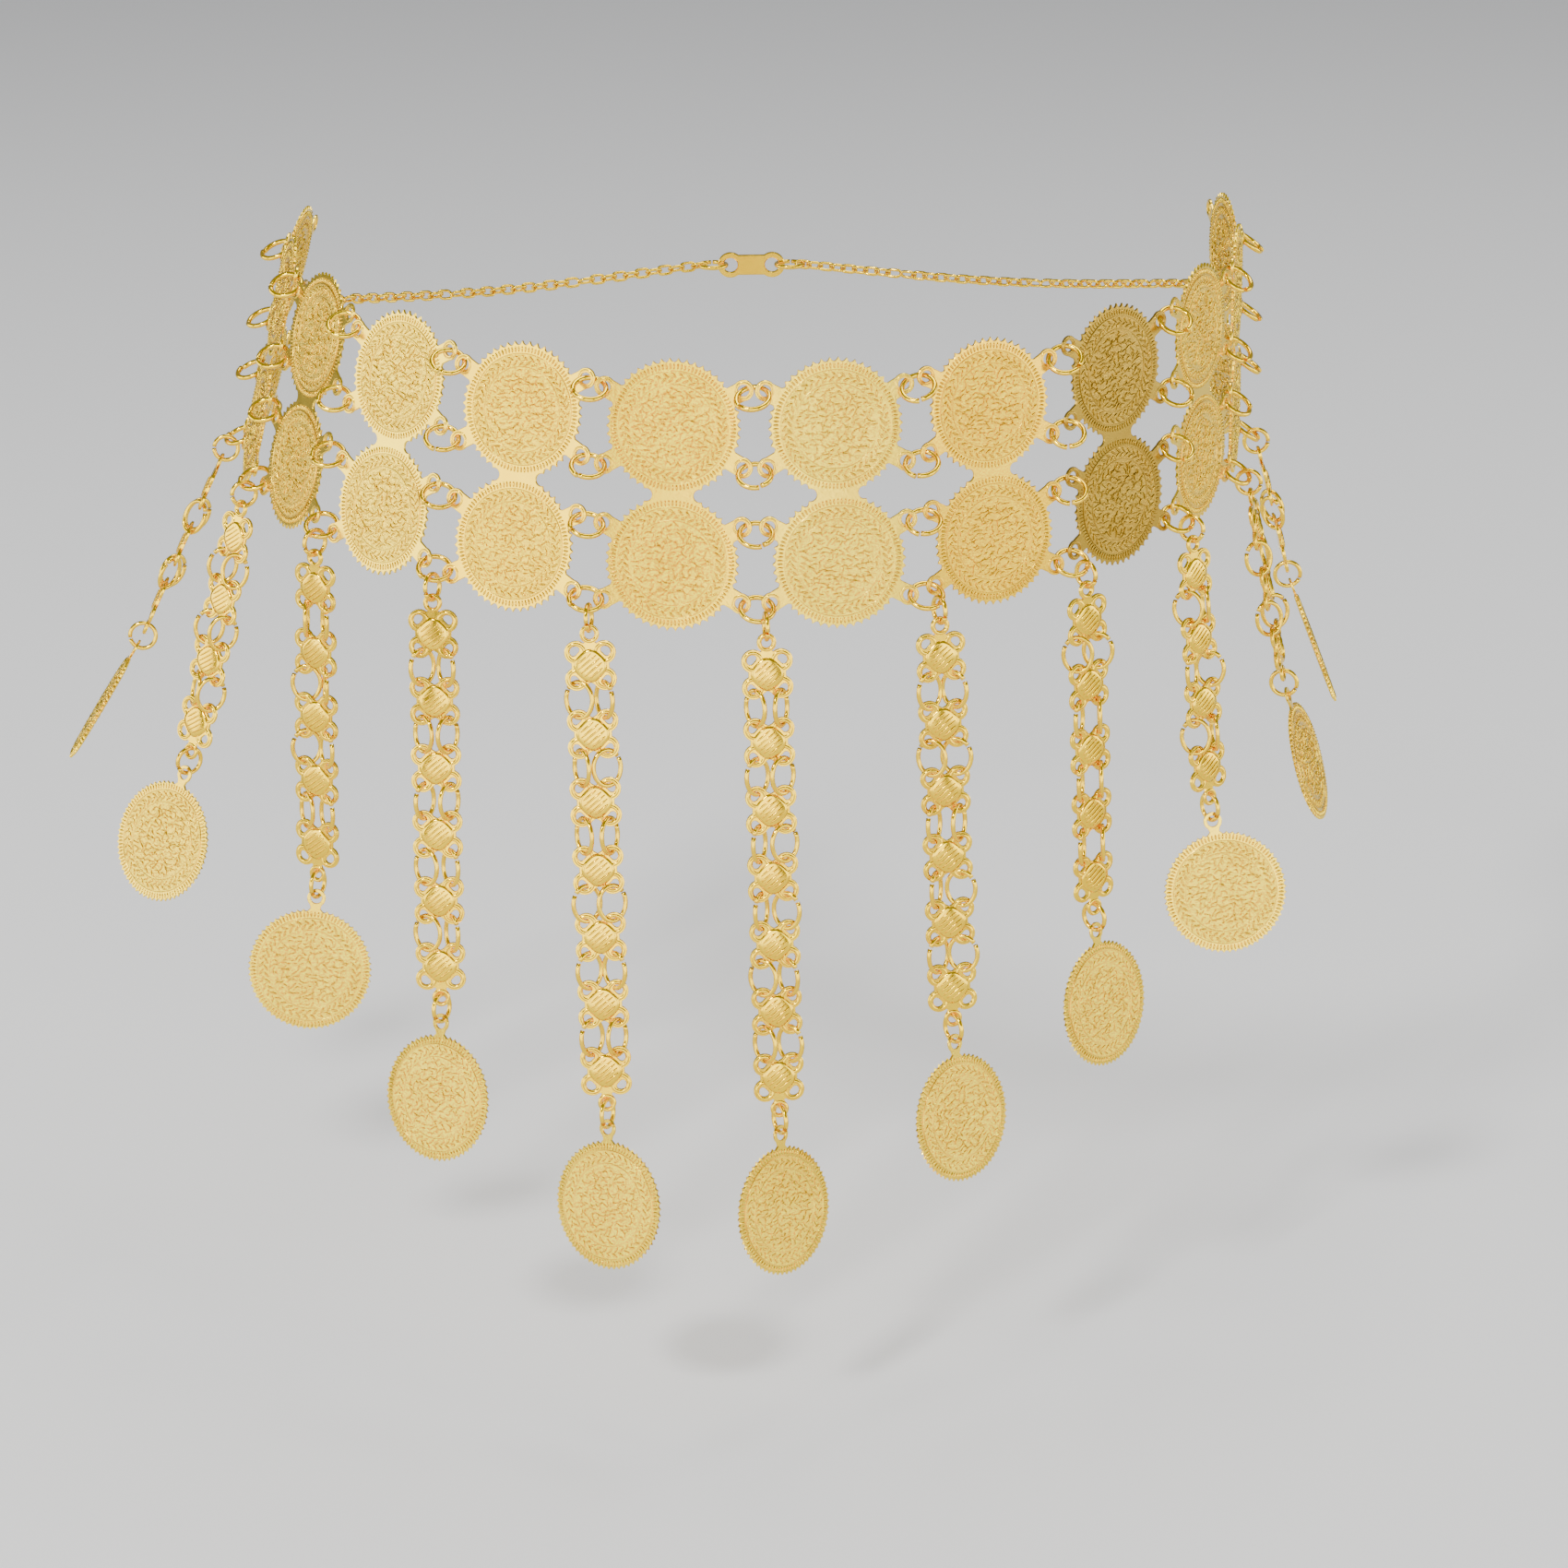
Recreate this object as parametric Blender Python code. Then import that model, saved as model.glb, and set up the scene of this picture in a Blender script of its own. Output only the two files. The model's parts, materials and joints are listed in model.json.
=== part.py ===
"""Waist chain of stamped double coins, worn round an open hip ring, with coin drops hung from it.

World axes: +Z up, the wearer's front towards -Y, +X to a viewer's right.
The origin is the middle of the hip ring, at the height of the front plates' necks.
"""

import math

import bmesh
import bpy
from mathutils import Matrix, Vector
from mathutils.geometry import tessellate_polygon

MM = 0.001

# Hip ring that the plates' necks follow
RING_HALF_WIDTH = 157 * MM
RING_HALF_DEPTH = 156 * MM
SIDE_RISE = 12 * MM
SLOPE_ROLL = 0.25
FLARE_ROLL = 0.15
PLATE_PITCH = 48.4 * MM
PLATES_PER_SIDE = 6
PLATE_LEAN = 7.5
PLATE_LEAN_SKEW = 7.0

# Stamped plates
COIN_RADIUS = 19.8 * MM
COIN_SPACING = 40 * MM
SHEET = 0.8 * MM
NECK_WIDTH = 12.3 * MM
EAR_X = 20.5 * MM
EAR_Y = 11.3 * MM
EAR_RADIUS = 3.05 * MM
EAR_HOLE = 2.1 * MM
EAR_ROOT_HALF_ANGLE = 9.0
EAR_END_HALF_ANGLE = 78.0

# Round wire
WIRE_RADIUS = 0.6 * MM
JUMP_RING_RADIUS = 4.9 * MM
JUMP_RING_TILT = 54.0
EVEN_GAP = 7.3 * MM
EYE_PLAY = 0.4 * MM
EYE_PASS = 1.6 * MM
DROP_RING_RADIUS = 3.9 * MM
END_RING_RADIUS = 4.2 * MM
HOOK_POINT = 2.1 * MM
WIRE_GAP = 0.5 * MM

# Corners of a jump ring below its ears, as shares of its radius
JUMP_RING_CORNERS = (
    {"across": 0.97, "below": 0.22},
    {"across": 0.76, "below": 0.77},
    {"across": -0.38, "below": 0.91},
    {"across": -0.97, "below": 0.22},
)

# Quatrefoil links of the drops
LINK_PITCH = 20.4 * MM
LINK_SHEET = 1.2 * MM
LOBE_X = 4.15 * MM
LOBE_Y = 3.95 * MM
LOBE_RADIUS = 3.4 * MM
TOP_LOOP_HEIGHT = 9.4 * MM
TOP_LOOP_RADIUS = 2.9 * MM
END_LOOP_DEPTH = 9.8 * MM
END_LOOP_RADIUS = 2.7 * MM
LOBE_WAIST = 1.2 * MM
LOOP_ROOT = 0.5 * MM
LOOP_GRIP = 0.9 * MM
PAIR_HALF_WIDTH = 8.6 * MM
PAIR_HALF_HEIGHT = 1.95 * MM
PAIR_WIRE = 1.25 * MM
PAIR_WINDOW_OUTER = 2.3 * MM
PAIR_WINDOW_INNER = 1.8 * MM

# Pendant coins
PENDANT_RADIUS = 19.2 * MM
PENDANT_LOOP_HEIGHT = 23.0 * MM
PENDANT_LOOP_RADIUS = 2.9 * MM
PENDANT_LOOP_HOLE = 1.75 * MM
PENDANT_STEM_HALF = 2.2 * MM
PENDANT_EXTRA_LEAN = 7.0

# Drops, from the viewer's left to the right: how many links, then in degrees how far it
# leans away from the wearer, how far it sways along the belt, and how far its coin is turned
DROPS = (
    {"links": 3, "lean": 26.0, "sway": 8.0, "coin_turn": 0.0},
    {"links": 4, "lean": 15.0, "sway": 1.0, "coin_turn": 30.0},
    {"links": 5, "lean": 4.0, "sway": 2.0, "coin_turn": 48.0},
    {"links": 6, "lean": 7.5, "sway": 4.0, "coin_turn": -4.0},
    {"links": 7, "lean": 9.5, "sway": 3.0, "coin_turn": -24.0},
    {"links": 7, "lean": 8.0, "sway": 0.0, "coin_turn": 38.0},
    {"links": 6, "lean": 5.5, "sway": -0.5, "coin_turn": 18.0},
    {"links": 5, "lean": 3.0, "sway": 0.0, "coin_turn": 4.0},
    {"links": 4, "lean": 7.0, "sway": -3.0, "coin_turn": -55.0},
    {"links": 3, "lean": 11.0, "sway": 2.0, "coin_turn": 0.0},
    {"links": 2, "lean": 14.5, "sway": 2.0, "coin_turn": 0.0},
)

# Closing chains at the back
BACK_CHAIN_RADIUS = 1.6 * MM
BACK_CHAIN_SAG = 6 * MM
BACK_CHAIN_STEPS = 14
BACK_CHAIN_SINK = 1.2 * MM
BRIDLE_STAND = 7.0 * MM
BRIDLE_LENGTH = 20 * MM
BRIDLE_BAR = 2.4 * MM
BRIDLE_FOOT = 2.6 * MM
BRIDLE_FOOT_HALF = 1.9 * MM
BRIDLE_BACK = 0.2 * MM
BRIDLE_BAR_WIDTH = 1.8 * MM
BRIDLE_WINDOW_INSET = 3.8 * MM
BRIDLE_TIP_SOLID = 4.5 * MM
BRIDLE_RING_POINT = 1.0 * MM
HOOK_SHEET = 1.6 * MM
HOOK_LOOP_RADIUS = 4.6 * MM
HOOK_LOOP_HOLE = 2.6 * MM
HOOK_SPACING = 15 * MM
BACK_RING_RADIUS = 4.9 * MM
BACK_RING_PULL = 1.5 * MM

UP = Vector((0.0, 0.0, 1.0))
PLATE_ORDER = [*range(-PLATES_PER_SIDE, 0), *range(1, PLATES_PER_SIDE + 1)]


def clear_scene():
    """Removes the objects of the startup scene."""
    for obj in list(bpy.data.objects):
        bpy.data.objects.remove(obj, do_unlink=True)


def gold(name, color, roughness):
    """A plain gold finish."""
    material = bpy.data.materials.new(name)
    material.use_nodes = True
    shader = material.node_tree.nodes["Principled BSDF"]
    shader.inputs["Base Color"].default_value = (*color, 1.0)
    shader.inputs["Metallic"].default_value = 1.0
    shader.inputs["Roughness"].default_value = roughness
    return material


def mesh_object(name, points, faces, material=None):
    """A mesh object at the origin from world points and faces."""
    mesh = bpy.data.meshes.new(name)
    mesh.from_pydata([tuple(point) for point in points], [], faces)
    mesh.update()
    if material:
        mesh.materials.append(material)
    obj = bpy.data.objects.new(name, mesh)
    bpy.context.scene.collection.objects.link(obj)
    return obj


def helper(obj):
    """Marks a mesh that only shapes another one."""
    obj.hide_render = True
    obj.display_type = "WIRE"
    return obj


class Frame:
    """A place with three axes: u along the belt, v down and w out of the face."""

    def __init__(self, origin, u, down):
        self.origin = origin
        self.u = u.normalized()
        self.v = (down - self.u * down.dot(self.u)).normalized()
        self.w = self.v.cross(self.u).normalized()

    def at(self, u, v, w=0.0):
        """The world point at these distances along the axes."""
        return self.origin + self.u * u + self.v * v + self.w * w


def arc_table(steps=2000):
    """Arc length at each step round the ring, from the front to the viewer's right."""
    table = [(0.0, 0.0)]
    length = 0.0
    last = Vector((0.0, -RING_HALF_DEPTH))
    for step in range(1, steps + 1):
        angle = math.tau * step / steps
        here = Vector((RING_HALF_WIDTH * math.sin(angle), -RING_HALF_DEPTH * math.cos(angle)))
        length += (here - last).length
        table.append((length, angle))
        last = here
    return table


ARC = arc_table()
RING_LENGTH = ARC[-1][0]


def ring_angle(distance):
    """The ring's angle at an arc length, by interpolation in the table."""
    distance %= RING_LENGTH
    low, high = 0, len(ARC) - 1
    while high - low > 1:
        middle = (low + high) // 2
        if ARC[middle][0] <= distance:
            low = middle
        else:
            high = middle
    span = ARC[high][0] - ARC[low][0]
    return ARC[low][1] + (ARC[high][1] - ARC[low][1]) * (distance - ARC[low][0]) / span


def ring_station(distance):
    """Point, level tangent, belt slope and outward normal of the ring at an arc length."""
    angle = ring_angle(distance)
    x = RING_HALF_WIDTH * math.sin(angle)
    y = -RING_HALF_DEPTH * math.cos(angle)
    tangent = Vector((RING_HALF_WIDTH * math.cos(angle), RING_HALF_DEPTH * math.sin(angle), 0.0)).normalized()
    normal = Vector((tangent.y, -tangent.x, 0.0))
    point = Vector((x, y, SIDE_RISE * (x / RING_HALF_WIDTH) ** 2))
    slope = 2 * SIDE_RISE * x / RING_HALF_WIDTH**2 * tangent.x
    return point, tangent, slope, normal


def plate_frame(index):
    """Frame of a plate, with its origin at the middle of the neck."""
    distance = (abs(index) - 0.5) * PLATE_PITCH * math.copysign(1.0, index)
    point, tangent, slope, normal = ring_station(distance)
    lean = math.radians(PLATE_LEAN - PLATE_LEAN_SKEW * normal.x)
    down = -UP * math.cos(lean) + normal * math.sin(lean)
    turned = math.atan2(normal.x, -normal.y)
    roll = slope * SLOPE_ROLL - turned * math.sin(lean) * FLARE_ROLL
    return Frame(point, tangent * math.cos(roll) - down * math.sin(roll), down)


def plate_name(index):
    """Name of a plate, counted from the front to each side."""
    side = "left" if index < 0 else "right"
    return f"plate_{side}_{abs(index)}"


def ear_places():
    """Ears of a plate in its frame, from top to bottom: (u, v) of the right-hand ear."""
    return [(EAR_X, coin + side * EAR_Y) for coin in (-COIN_SPACING / 2, COIN_SPACING / 2) for side in (-1, 1)]


def polar(center, radius, degrees):
    """A point in (u, v) round a centre; 0 degrees along u and 90 down."""
    turn = math.radians(degrees)
    return (center[0] + radius * math.cos(turn), center[1] + radius * math.sin(turn))


def arc(center, radius, start, end, count):
    """Points along an arc, both ends included."""
    return [polar(center, radius, start + (end - start) * step / (count - 1)) for step in range(count)]


def regular(center, radius, sides, turn=0.0):
    """A regular polygon."""
    return [polar(center, radius, turn + 360.0 * step / sides) for step in range(sides)]


def ear_outline(coin, direction):
    """The root and the round end of one ear, in the direction of rising angle."""
    root = EAR_ROOT_HALF_ANGLE
    reach = math.hypot(EAR_X, EAR_Y)
    eye = polar(coin, reach, direction)
    start = polar(coin, COIN_RADIUS, direction - root)
    end = polar(coin, COIN_RADIUS, direction + root)
    rounding = arc(eye, EAR_RADIUS, direction - EAR_END_HALF_ANGLE, direction + EAR_END_HALF_ANGLE, 4)
    return [start, *rounding, end]


def plate_outline():
    """Outline of the double coin with its eight ears."""
    ear_angle = math.degrees(math.atan2(EAR_Y, EAR_X))
    neck_angle = 90 - math.degrees(math.asin(NECK_WIDTH / 2 / COIN_RADIUS))
    root = ear_angle + EAR_ROOT_HALF_ANGLE
    inner = ear_angle - EAR_ROOT_HALF_ANGLE
    half = []
    coin = (0.0, COIN_SPACING / 2)
    half.extend(arc(coin, COIN_RADIUS, -neck_angle, -root, 3)[:-1])
    half.extend(ear_outline(coin, -ear_angle))
    half.extend(arc(coin, COIN_RADIUS, -inner, inner, 4)[1:-1])
    half.extend(ear_outline(coin, ear_angle))
    half.extend(arc(coin, COIN_RADIUS, root, 180 - root, 6)[1:-1])
    half.extend(ear_outline(coin, 180 - ear_angle))
    half.extend(arc(coin, COIN_RADIUS, 180 - inner, 180 + inner, 4)[1:-1])
    half.extend(ear_outline(coin, 180 + ear_angle))
    half.extend(arc(coin, COIN_RADIUS, 180 + root, 180 + neck_angle, 3)[1:])
    return half + [(-u, -v) for u, v in half]


def slab(loops, thickness, frame):
    """Points and faces of a flat sheet: the first loop is the edge, the rest are holes."""
    flat = [Vector((u, v, 0.0)) for loop in loops for u, v in loop]
    count = len(flat)
    caps = tessellate_polygon([[Vector((u, v, 0.0)) for u, v in loop] for loop in loops])
    points = [frame.at(p.x, p.y, thickness / 2) for p in flat] + [frame.at(p.x, p.y, -thickness / 2) for p in flat]
    faces = []
    for a, b, c in caps:
        turned = (flat[b] - flat[a]).cross(flat[c] - flat[a]).z
        front = (a, c, b) if turned > 0 else (a, b, c)
        faces.append(front)
        faces.append(tuple(count + i for i in reversed(front)))
    start = 0
    for number, loop in enumerate(loops):
        area = sum(p[0] * q[1] - q[0] * p[1] for p, q in zip(loop, loop[1:] + loop[:1]))
        outward = (area > 0) == (number == 0)
        for step in range(len(loop)):
            a = start + step
            b = start + (step + 1) % len(loop)
            side = (a, b, count + b, count + a) if outward else (b, a, count + a, count + b)
            faces.append(side)
        start += len(loop)
    return points, faces


def loop_solid(frame, path, wire=WIRE_RADIUS, sides=3):
    """Points and faces of a closed wire along a convex path of (u, v) corners, in rising angle."""
    corners = [Vector(corner) for corner in path]
    count = len(corners)
    points = []
    for number, corner in enumerate(corners):
        before = (corner - corners[number - 1]).normalized()
        after = (corners[(number + 1) % count] - corner).normalized()
        bend = (Vector((before.y, -before.x)) + Vector((after.y, -after.x))).normalized()
        widen = 1.0 / max(bend.dot(Vector((before.y, -before.x))), 0.5)
        for side in range(sides):
            swing = math.tau * side / sides
            place = corner + bend * (wire * math.cos(swing) * widen)
            points.append(frame.at(place.x, place.y, wire * math.sin(swing)))
    faces = []
    for number in range(count):
        after = (number + 1) % count
        for side in range(sides):
            beside = (side + 1) % sides
            faces.append((number * sides + side, after * sides + side, after * sides + beside, number * sides + beside))
    return points, faces


def round_ring(center, across, down, radius, segments=8):
    """Points and faces of a round wire ring in the plane of two axes, with corners on both."""
    frame = Frame(center, across, down)
    return loop_solid(frame, regular((0.0, 0.0), radius, segments))


def tube_solid(path, radius, sides=4):
    """Points and faces of a closed rod along an open path."""
    points = []
    for number, point in enumerate(path):
        ahead = path[min(number + 1, len(path) - 1)] - path[max(number - 1, 0)]
        flat = ahead.cross(UP).normalized()
        rise = flat.cross(ahead).normalized()
        for side in range(sides):
            swing = math.tau * (side + 0.5) / sides
            points.append(point + flat * radius * math.cos(swing) + rise * radius * math.sin(swing))
    faces = [tuple(range(sides))]
    for number in range(len(path) - 1):
        for side in range(sides):
            beside = (side + 1) % sides
            low = number * sides
            high = low + sides
            faces.append((low + side, high + side, high + beside, low + beside))
    faces.append(tuple(reversed(range(len(points) - sides, len(points)))))
    return points, faces


def merged(*solids):
    """Several solids as one list of points and faces."""
    points, faces = [], []
    for more_points, more_faces in solids:
        shift = len(points)
        points.extend(more_points)
        faces.extend(tuple(i + shift for i in face) for face in more_faces)
    return points, faces


def recalculated(obj):
    """Turns every face of the object's mesh outwards."""
    shape = bmesh.new()
    shape.from_mesh(obj.data)
    bmesh.ops.recalc_face_normals(shape, faces=shape.faces)
    shape.to_mesh(obj.data)
    shape.free()
    return obj


def fused(name, base, extra, material):
    """One body: the base solid with further, mutually separate solids joined to it."""
    body = recalculated(mesh_object(name, *base, material))
    other = helper(recalculated(mesh_object(name + "_joined", *merged(*extra))))
    union = body.modifiers.new("union", "BOOLEAN")
    union.operation = "UNION"
    union.object = other
    return body


class JumpRing:
    """A wire ring through two facing ears: u from ear to ear, v towards its lowest point."""

    def __init__(self, left_eye, right_eye, left_frame, right_frame):
        along = right_eye - left_eye
        down = (left_frame.v + right_frame.v).normalized()
        out = (left_frame.w + right_frame.w).normalized()
        tilt = math.radians(JUMP_RING_TILT)
        self.frame = Frame((left_eye + right_eye) / 2, along, down * math.cos(tilt) + out * math.sin(tilt))
        play = min(max((EVEN_GAP - along.length) / 2, -EYE_PLAY), EYE_PLAY)
        self.half = along.length / 2 + play
        self.reach = math.sqrt(JUMP_RING_RADIUS**2 - self.half**2)

    def path(self):
        """Corners of the ring: straight through both ears, round below them."""
        below = [
            (corner["across"] * JUMP_RING_RADIUS, self.reach + corner["below"] * JUMP_RING_RADIUS)
            for corner in JUMP_RING_CORNERS
        ]
        start = [(-self.half, -EYE_PASS), (self.half, -EYE_PASS), (self.half, EYE_PASS)]
        return [*start, *below, (-self.half, EYE_PASS)]

    def hook_point(self):
        """The place on the lowest stretch of wire where a drop hangs."""
        (right, right_low), (left, left_low) = self.path()[4:6]
        share = (HOOK_POINT - left) / (right - left)
        return self.frame.at(HOOK_POINT, left_low + (right_low - left_low) * share)

    def solid(self):
        """Points and faces of the ring."""
        return loop_solid(self.frame, self.path())


def gap_rings(left_index, right_index):
    """The four jump rings between two plates, from top to bottom."""
    left, right = plate_frame(left_index), plate_frame(right_index)
    return [
        JumpRing(left.at(u, v), right.at(-u, v), left, right)
        for u, v in ear_places()
    ]


def make_plate(index, following, material):
    """A plate with the jump rings that lead to the next one."""
    frame = plate_frame(index)
    holes = []
    for u, v in ear_places():
        holes.append(regular((-u, v), EAR_HOLE, 6))
        if following is None:
            holes.append(regular((u, v), EAR_HOLE, 6))
    sheet = slab([plate_outline(), *holes], SHEET, frame)
    if following is None:
        return recalculated(mesh_object(plate_name(index), *sheet, material))
    rings = [ring.solid() for ring in gap_rings(index, following)]
    return fused(plate_name(index), sheet, rings, material)


def link_side(center):
    """Right-hand edge of one quatrefoil link, from top to bottom."""
    upper = arc((LOBE_X, center - LOBE_Y), LOBE_RADIUS, -28, 40, 2)
    lower = arc((LOBE_X, center + LOBE_Y), LOBE_RADIUS, -40, 28, 2)
    return [*upper, (LOBE_X + LOBE_WAIST, center), *lower]


def pair_side(middle):
    """Right-hand edge of a pair of rings between two links."""
    return [(PAIR_HALF_WIDTH, middle - PAIR_HALF_HEIGHT), (PAIR_HALF_WIDTH, middle + PAIR_HALF_HEIGHT)]


def pair_windows(middle):
    """The two openings of a pair of rings."""
    inside = PAIR_HALF_WIDTH - PAIR_WIRE
    right = [
        (PAIR_WIRE / 2, middle - PAIR_WINDOW_INNER),
        (inside, middle - PAIR_WINDOW_OUTER),
        (inside, middle + PAIR_WINDOW_OUTER),
        (PAIR_WIRE / 2, middle + PAIR_WINDOW_INNER),
    ]
    return [right, [(-u, v) for u, v in right]]


def drop_loops(links):
    """Edge and openings of a whole drop, measured down from the centre of its first link."""
    right = arc((0.0, -TOP_LOOP_HEIGHT), TOP_LOOP_RADIUS, -90, 50, 4)
    right.append((LOBE_X - LOOP_ROOT, -LOBE_Y - LOBE_RADIUS))
    windows = []
    for link in range(links):
        center = link * LINK_PITCH
        right.extend(link_side(center))
        if link < links - 1:
            middle = center + LINK_PITCH / 2
            right.extend(pair_side(middle))
            windows.extend(pair_windows(middle))
    last = (links - 1) * LINK_PITCH
    right.append((LOBE_X - LOOP_ROOT, last + LOBE_Y + LOBE_RADIUS))
    right.extend(arc((0.0, last + END_LOOP_DEPTH), END_LOOP_RADIUS, -50, 90, 4))
    left = [(-u, v) for u, v in reversed(right) if abs(u) > 1e-9]
    return [right + left, *windows]


class Drop:
    """Places and directions of one hanging drop."""

    def __init__(self, number):
        self.number = number
        self.links = DROPS[number]["links"]
        self.coin_turn = DROPS[number]["coin_turn"]
        ring = gap_rings(PLATE_ORDER[number], PLATE_ORDER[number + 1])[-1]
        self.pivot = ring.hook_point()
        level = Vector((ring.frame.u.x, ring.frame.u.y, 0.0)).normalized()
        out = Vector((level.y, -level.x, 0.0))
        lean = math.radians(DROPS[number]["lean"])
        down = -UP * math.cos(lean) + out * math.sin(lean)
        upright = Frame(self.pivot, level, down)
        swayed = Matrix.Rotation(math.radians(DROPS[number]["sway"]), 3, upright.w)
        self.frame = Frame(self.pivot, swayed @ level, swayed @ down)
        self.top_ring = DROP_RING_RADIUS - 2 * WIRE_RADIUS - WIRE_GAP
        loop = self.top_ring + DROP_RING_RADIUS + LOOP_GRIP
        self.first_link = loop + TOP_LOOP_HEIGHT
        end_loop = self.first_link + (self.links - 1) * LINK_PITCH + END_LOOP_DEPTH
        self.end_ring = end_loop + END_RING_RADIUS - LOOP_GRIP
        half_turn = Matrix.Rotation(math.radians(self.coin_turn / 2), 3, -self.frame.v)
        self.swing_axis = -self.frame.u
        self.coin_axis = half_turn @ -self.frame.u
        self.end_ring_across = half_turn @ self.frame.w
        self.swing = self.frame.at(0.0, self.end_ring)
        self.coin_frame = self.make_coin_frame()

    def make_coin_frame(self):
        """Frame of the pendant, with its origin at the centre of the coin's loop hole."""
        tilt = math.radians(PENDANT_EXTRA_LEAN)
        down = self.frame.v * math.cos(tilt) + self.frame.w * math.sin(tilt)
        along = Matrix.Rotation(math.radians(self.coin_turn), 3, -down) @ self.frame.u
        frame = Frame(self.swing, along, down)
        reach = END_RING_RADIUS + PENDANT_LOOP_HOLE * math.cos(math.pi / 6) - WIRE_RADIUS - WIRE_GAP
        frame.origin = frame.at(0.0, reach)
        return frame


def make_drop(drop, material):
    """The links of a drop, fused with its top ring and bottom ring."""
    base = drop.frame
    start = Frame(base.at(0.0, drop.first_link), base.u, base.v)
    sheet = slab(drop_loops(drop.links), LINK_SHEET, start)
    upper = round_ring(base.at(0.0, drop.top_ring), base.w, base.v, DROP_RING_RADIUS)
    lower = round_ring(base.at(0.0, drop.end_ring), drop.end_ring_across, base.v, END_RING_RADIUS)
    return fused(f"drop_{drop.number + 1:02d}", sheet, [upper, lower], material)


def make_pendant(drop, material):
    """The coin at a drop's end with its small loop."""
    frame = drop.coin_frame
    coin = (0.0, PENDANT_LOOP_HEIGHT)
    start = math.degrees(math.asin(PENDANT_STEM_HALF / PENDANT_RADIUS))
    edge = arc(coin, PENDANT_RADIUS, -90 + start, 270 - start, 18)
    edge.extend(arc((0.0, 0.0), PENDANT_LOOP_RADIUS, 150, 390, 5))
    hole = regular((0.0, 0.0), PENDANT_LOOP_HOLE, 6, 30.0)
    sheet = slab([edge, hole], SHEET, frame)
    return recalculated(mesh_object(f"pendant_{drop.number + 1:02d}", *sheet, material))


def bridle_loops(side, half):
    """Edge and opening of the forked piece that joins two ears of an end plate to its chain."""
    foot = -side * BRIDLE_FOOT
    back = -side * BRIDLE_BACK
    front = side * BRIDLE_BAR_WIDTH
    tip = side * BRIDLE_LENGTH
    lower = [
        (tip, BRIDLE_BAR),
        (front, half + BRIDLE_FOOT_HALF),
        (foot, half + BRIDLE_FOOT_HALF),
        (foot, half - BRIDLE_FOOT_HALF),
        (back, half - 2 * BRIDLE_FOOT_HALF),
    ]
    upper = [(u, -v) for u, v in reversed(lower)]
    window = [
        (front, BRIDLE_WINDOW_INSET - half),
        (tip - side * BRIDLE_TIP_SOLID, 0.0),
        (front, half - BRIDLE_WINDOW_INSET),
    ]
    return [[(tip + side * EAR_RADIUS, 0.0), *lower, *upper], window]


def chain_path(start_point, start_distance, end_distance):
    """Line of a sagging chain along the ring, from a point near its start to its end."""
    settle = start_point - ring_station(start_distance)[0]
    path = []
    for step in range(BACK_CHAIN_STEPS + 1):
        share = step / BACK_CHAIN_STEPS
        point = ring_station(start_distance + (end_distance - start_distance) * share)[0]
        sag = UP * BACK_CHAIN_SAG * math.sin(math.pi * share)
        path.append(point + settle * (1 - share) - sag)
    return path


def back_side(side, material):
    """Bridle, chain and end ring from one end plate to the middle of the back."""
    plate = plate_frame(side * PLATES_PER_SIDE)
    frame = Frame(plate.at(side * (EAR_X + BRIDLE_STAND), 0.0), plate.u, plate.v)
    ears = ear_places()[1:3]
    rings = []
    for u, v in ears:
        eyes = [plate.at(side * u, v), frame.at(-side * BRIDLE_RING_POINT, v)]
        rings.append(JumpRing(*eyes[::side], plate, plate).solid())
    sheet = slab(bridle_loops(side, ears[1][1]), LINK_SHEET, frame)
    bridle_end = (PLATES_PER_SIDE - 0.5) * PLATE_PITCH + EAR_X + BRIDLE_STAND + BRIDLE_LENGTH
    ring_distance = RING_LENGTH / 2 - HOOK_SPACING / 2 - BACK_RING_PULL - BACK_RING_RADIUS
    chain_end = ring_distance - BACK_RING_RADIUS + BACK_CHAIN_SINK
    path = chain_path(frame.at(side * BRIDLE_LENGTH, 0.0), side * bridle_end, side * chain_end)
    rod = tube_solid(path, BACK_CHAIN_RADIUS)
    point, tangent, _, normal = ring_station(side * ring_distance)
    rings.append(round_ring(point, tangent, normal, BACK_RING_RADIUS))
    name = "back_chain_left" if side < 0 else "back_chain_right"
    base = fused(name, sheet, [rod], material)
    more = helper(recalculated(mesh_object(name + "_rings", *merged(*rings))))
    union = base.modifiers.new("rings", "BOOLEAN")
    union.operation = "UNION"
    union.object = more
    return base


def make_hook(material):
    """The flat closing piece that holds the two back rings."""
    point, tangent, _, normal = ring_station(RING_LENGTH / 2)
    frame = Frame(point, tangent, -UP)
    half = HOOK_SPACING / 2
    edge = [
        *arc((half, 0.0), HOOK_LOOP_RADIUS, -120, 120, 7),
        *arc((-half, 0.0), HOOK_LOOP_RADIUS, 60, 300, 7),
    ]
    holes = [regular((half, 0.0), HOOK_LOOP_HOLE, 8, 22.5), regular((-half, 0.0), HOOK_LOOP_HOLE, 8, 22.5)]
    sheet = slab([edge, *holes], HOOK_SHEET, frame)
    return recalculated(mesh_object("hook", *sheet, material))


def main():
    """Builds the whole waist chain."""
    clear_scene()
    plate_gold = gold("plate_gold", (0.83, 0.60, 0.24), 0.34)
    wire_gold = gold("wire_gold", (0.86, 0.63, 0.26), 0.22)
    coin_gold = gold("coin_gold", (0.85, 0.63, 0.27), 0.32)
    for index, following in zip(PLATE_ORDER, [*PLATE_ORDER[1:], None]):
        make_plate(index, following, plate_gold)
    for number in range(len(DROPS)):
        drop = Drop(number)
        make_drop(drop, wire_gold)
        make_pendant(drop, coin_gold)
    for side in (-1, 1):
        back_side(side, wire_gold)
    make_hook(wire_gold)


main()
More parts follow.
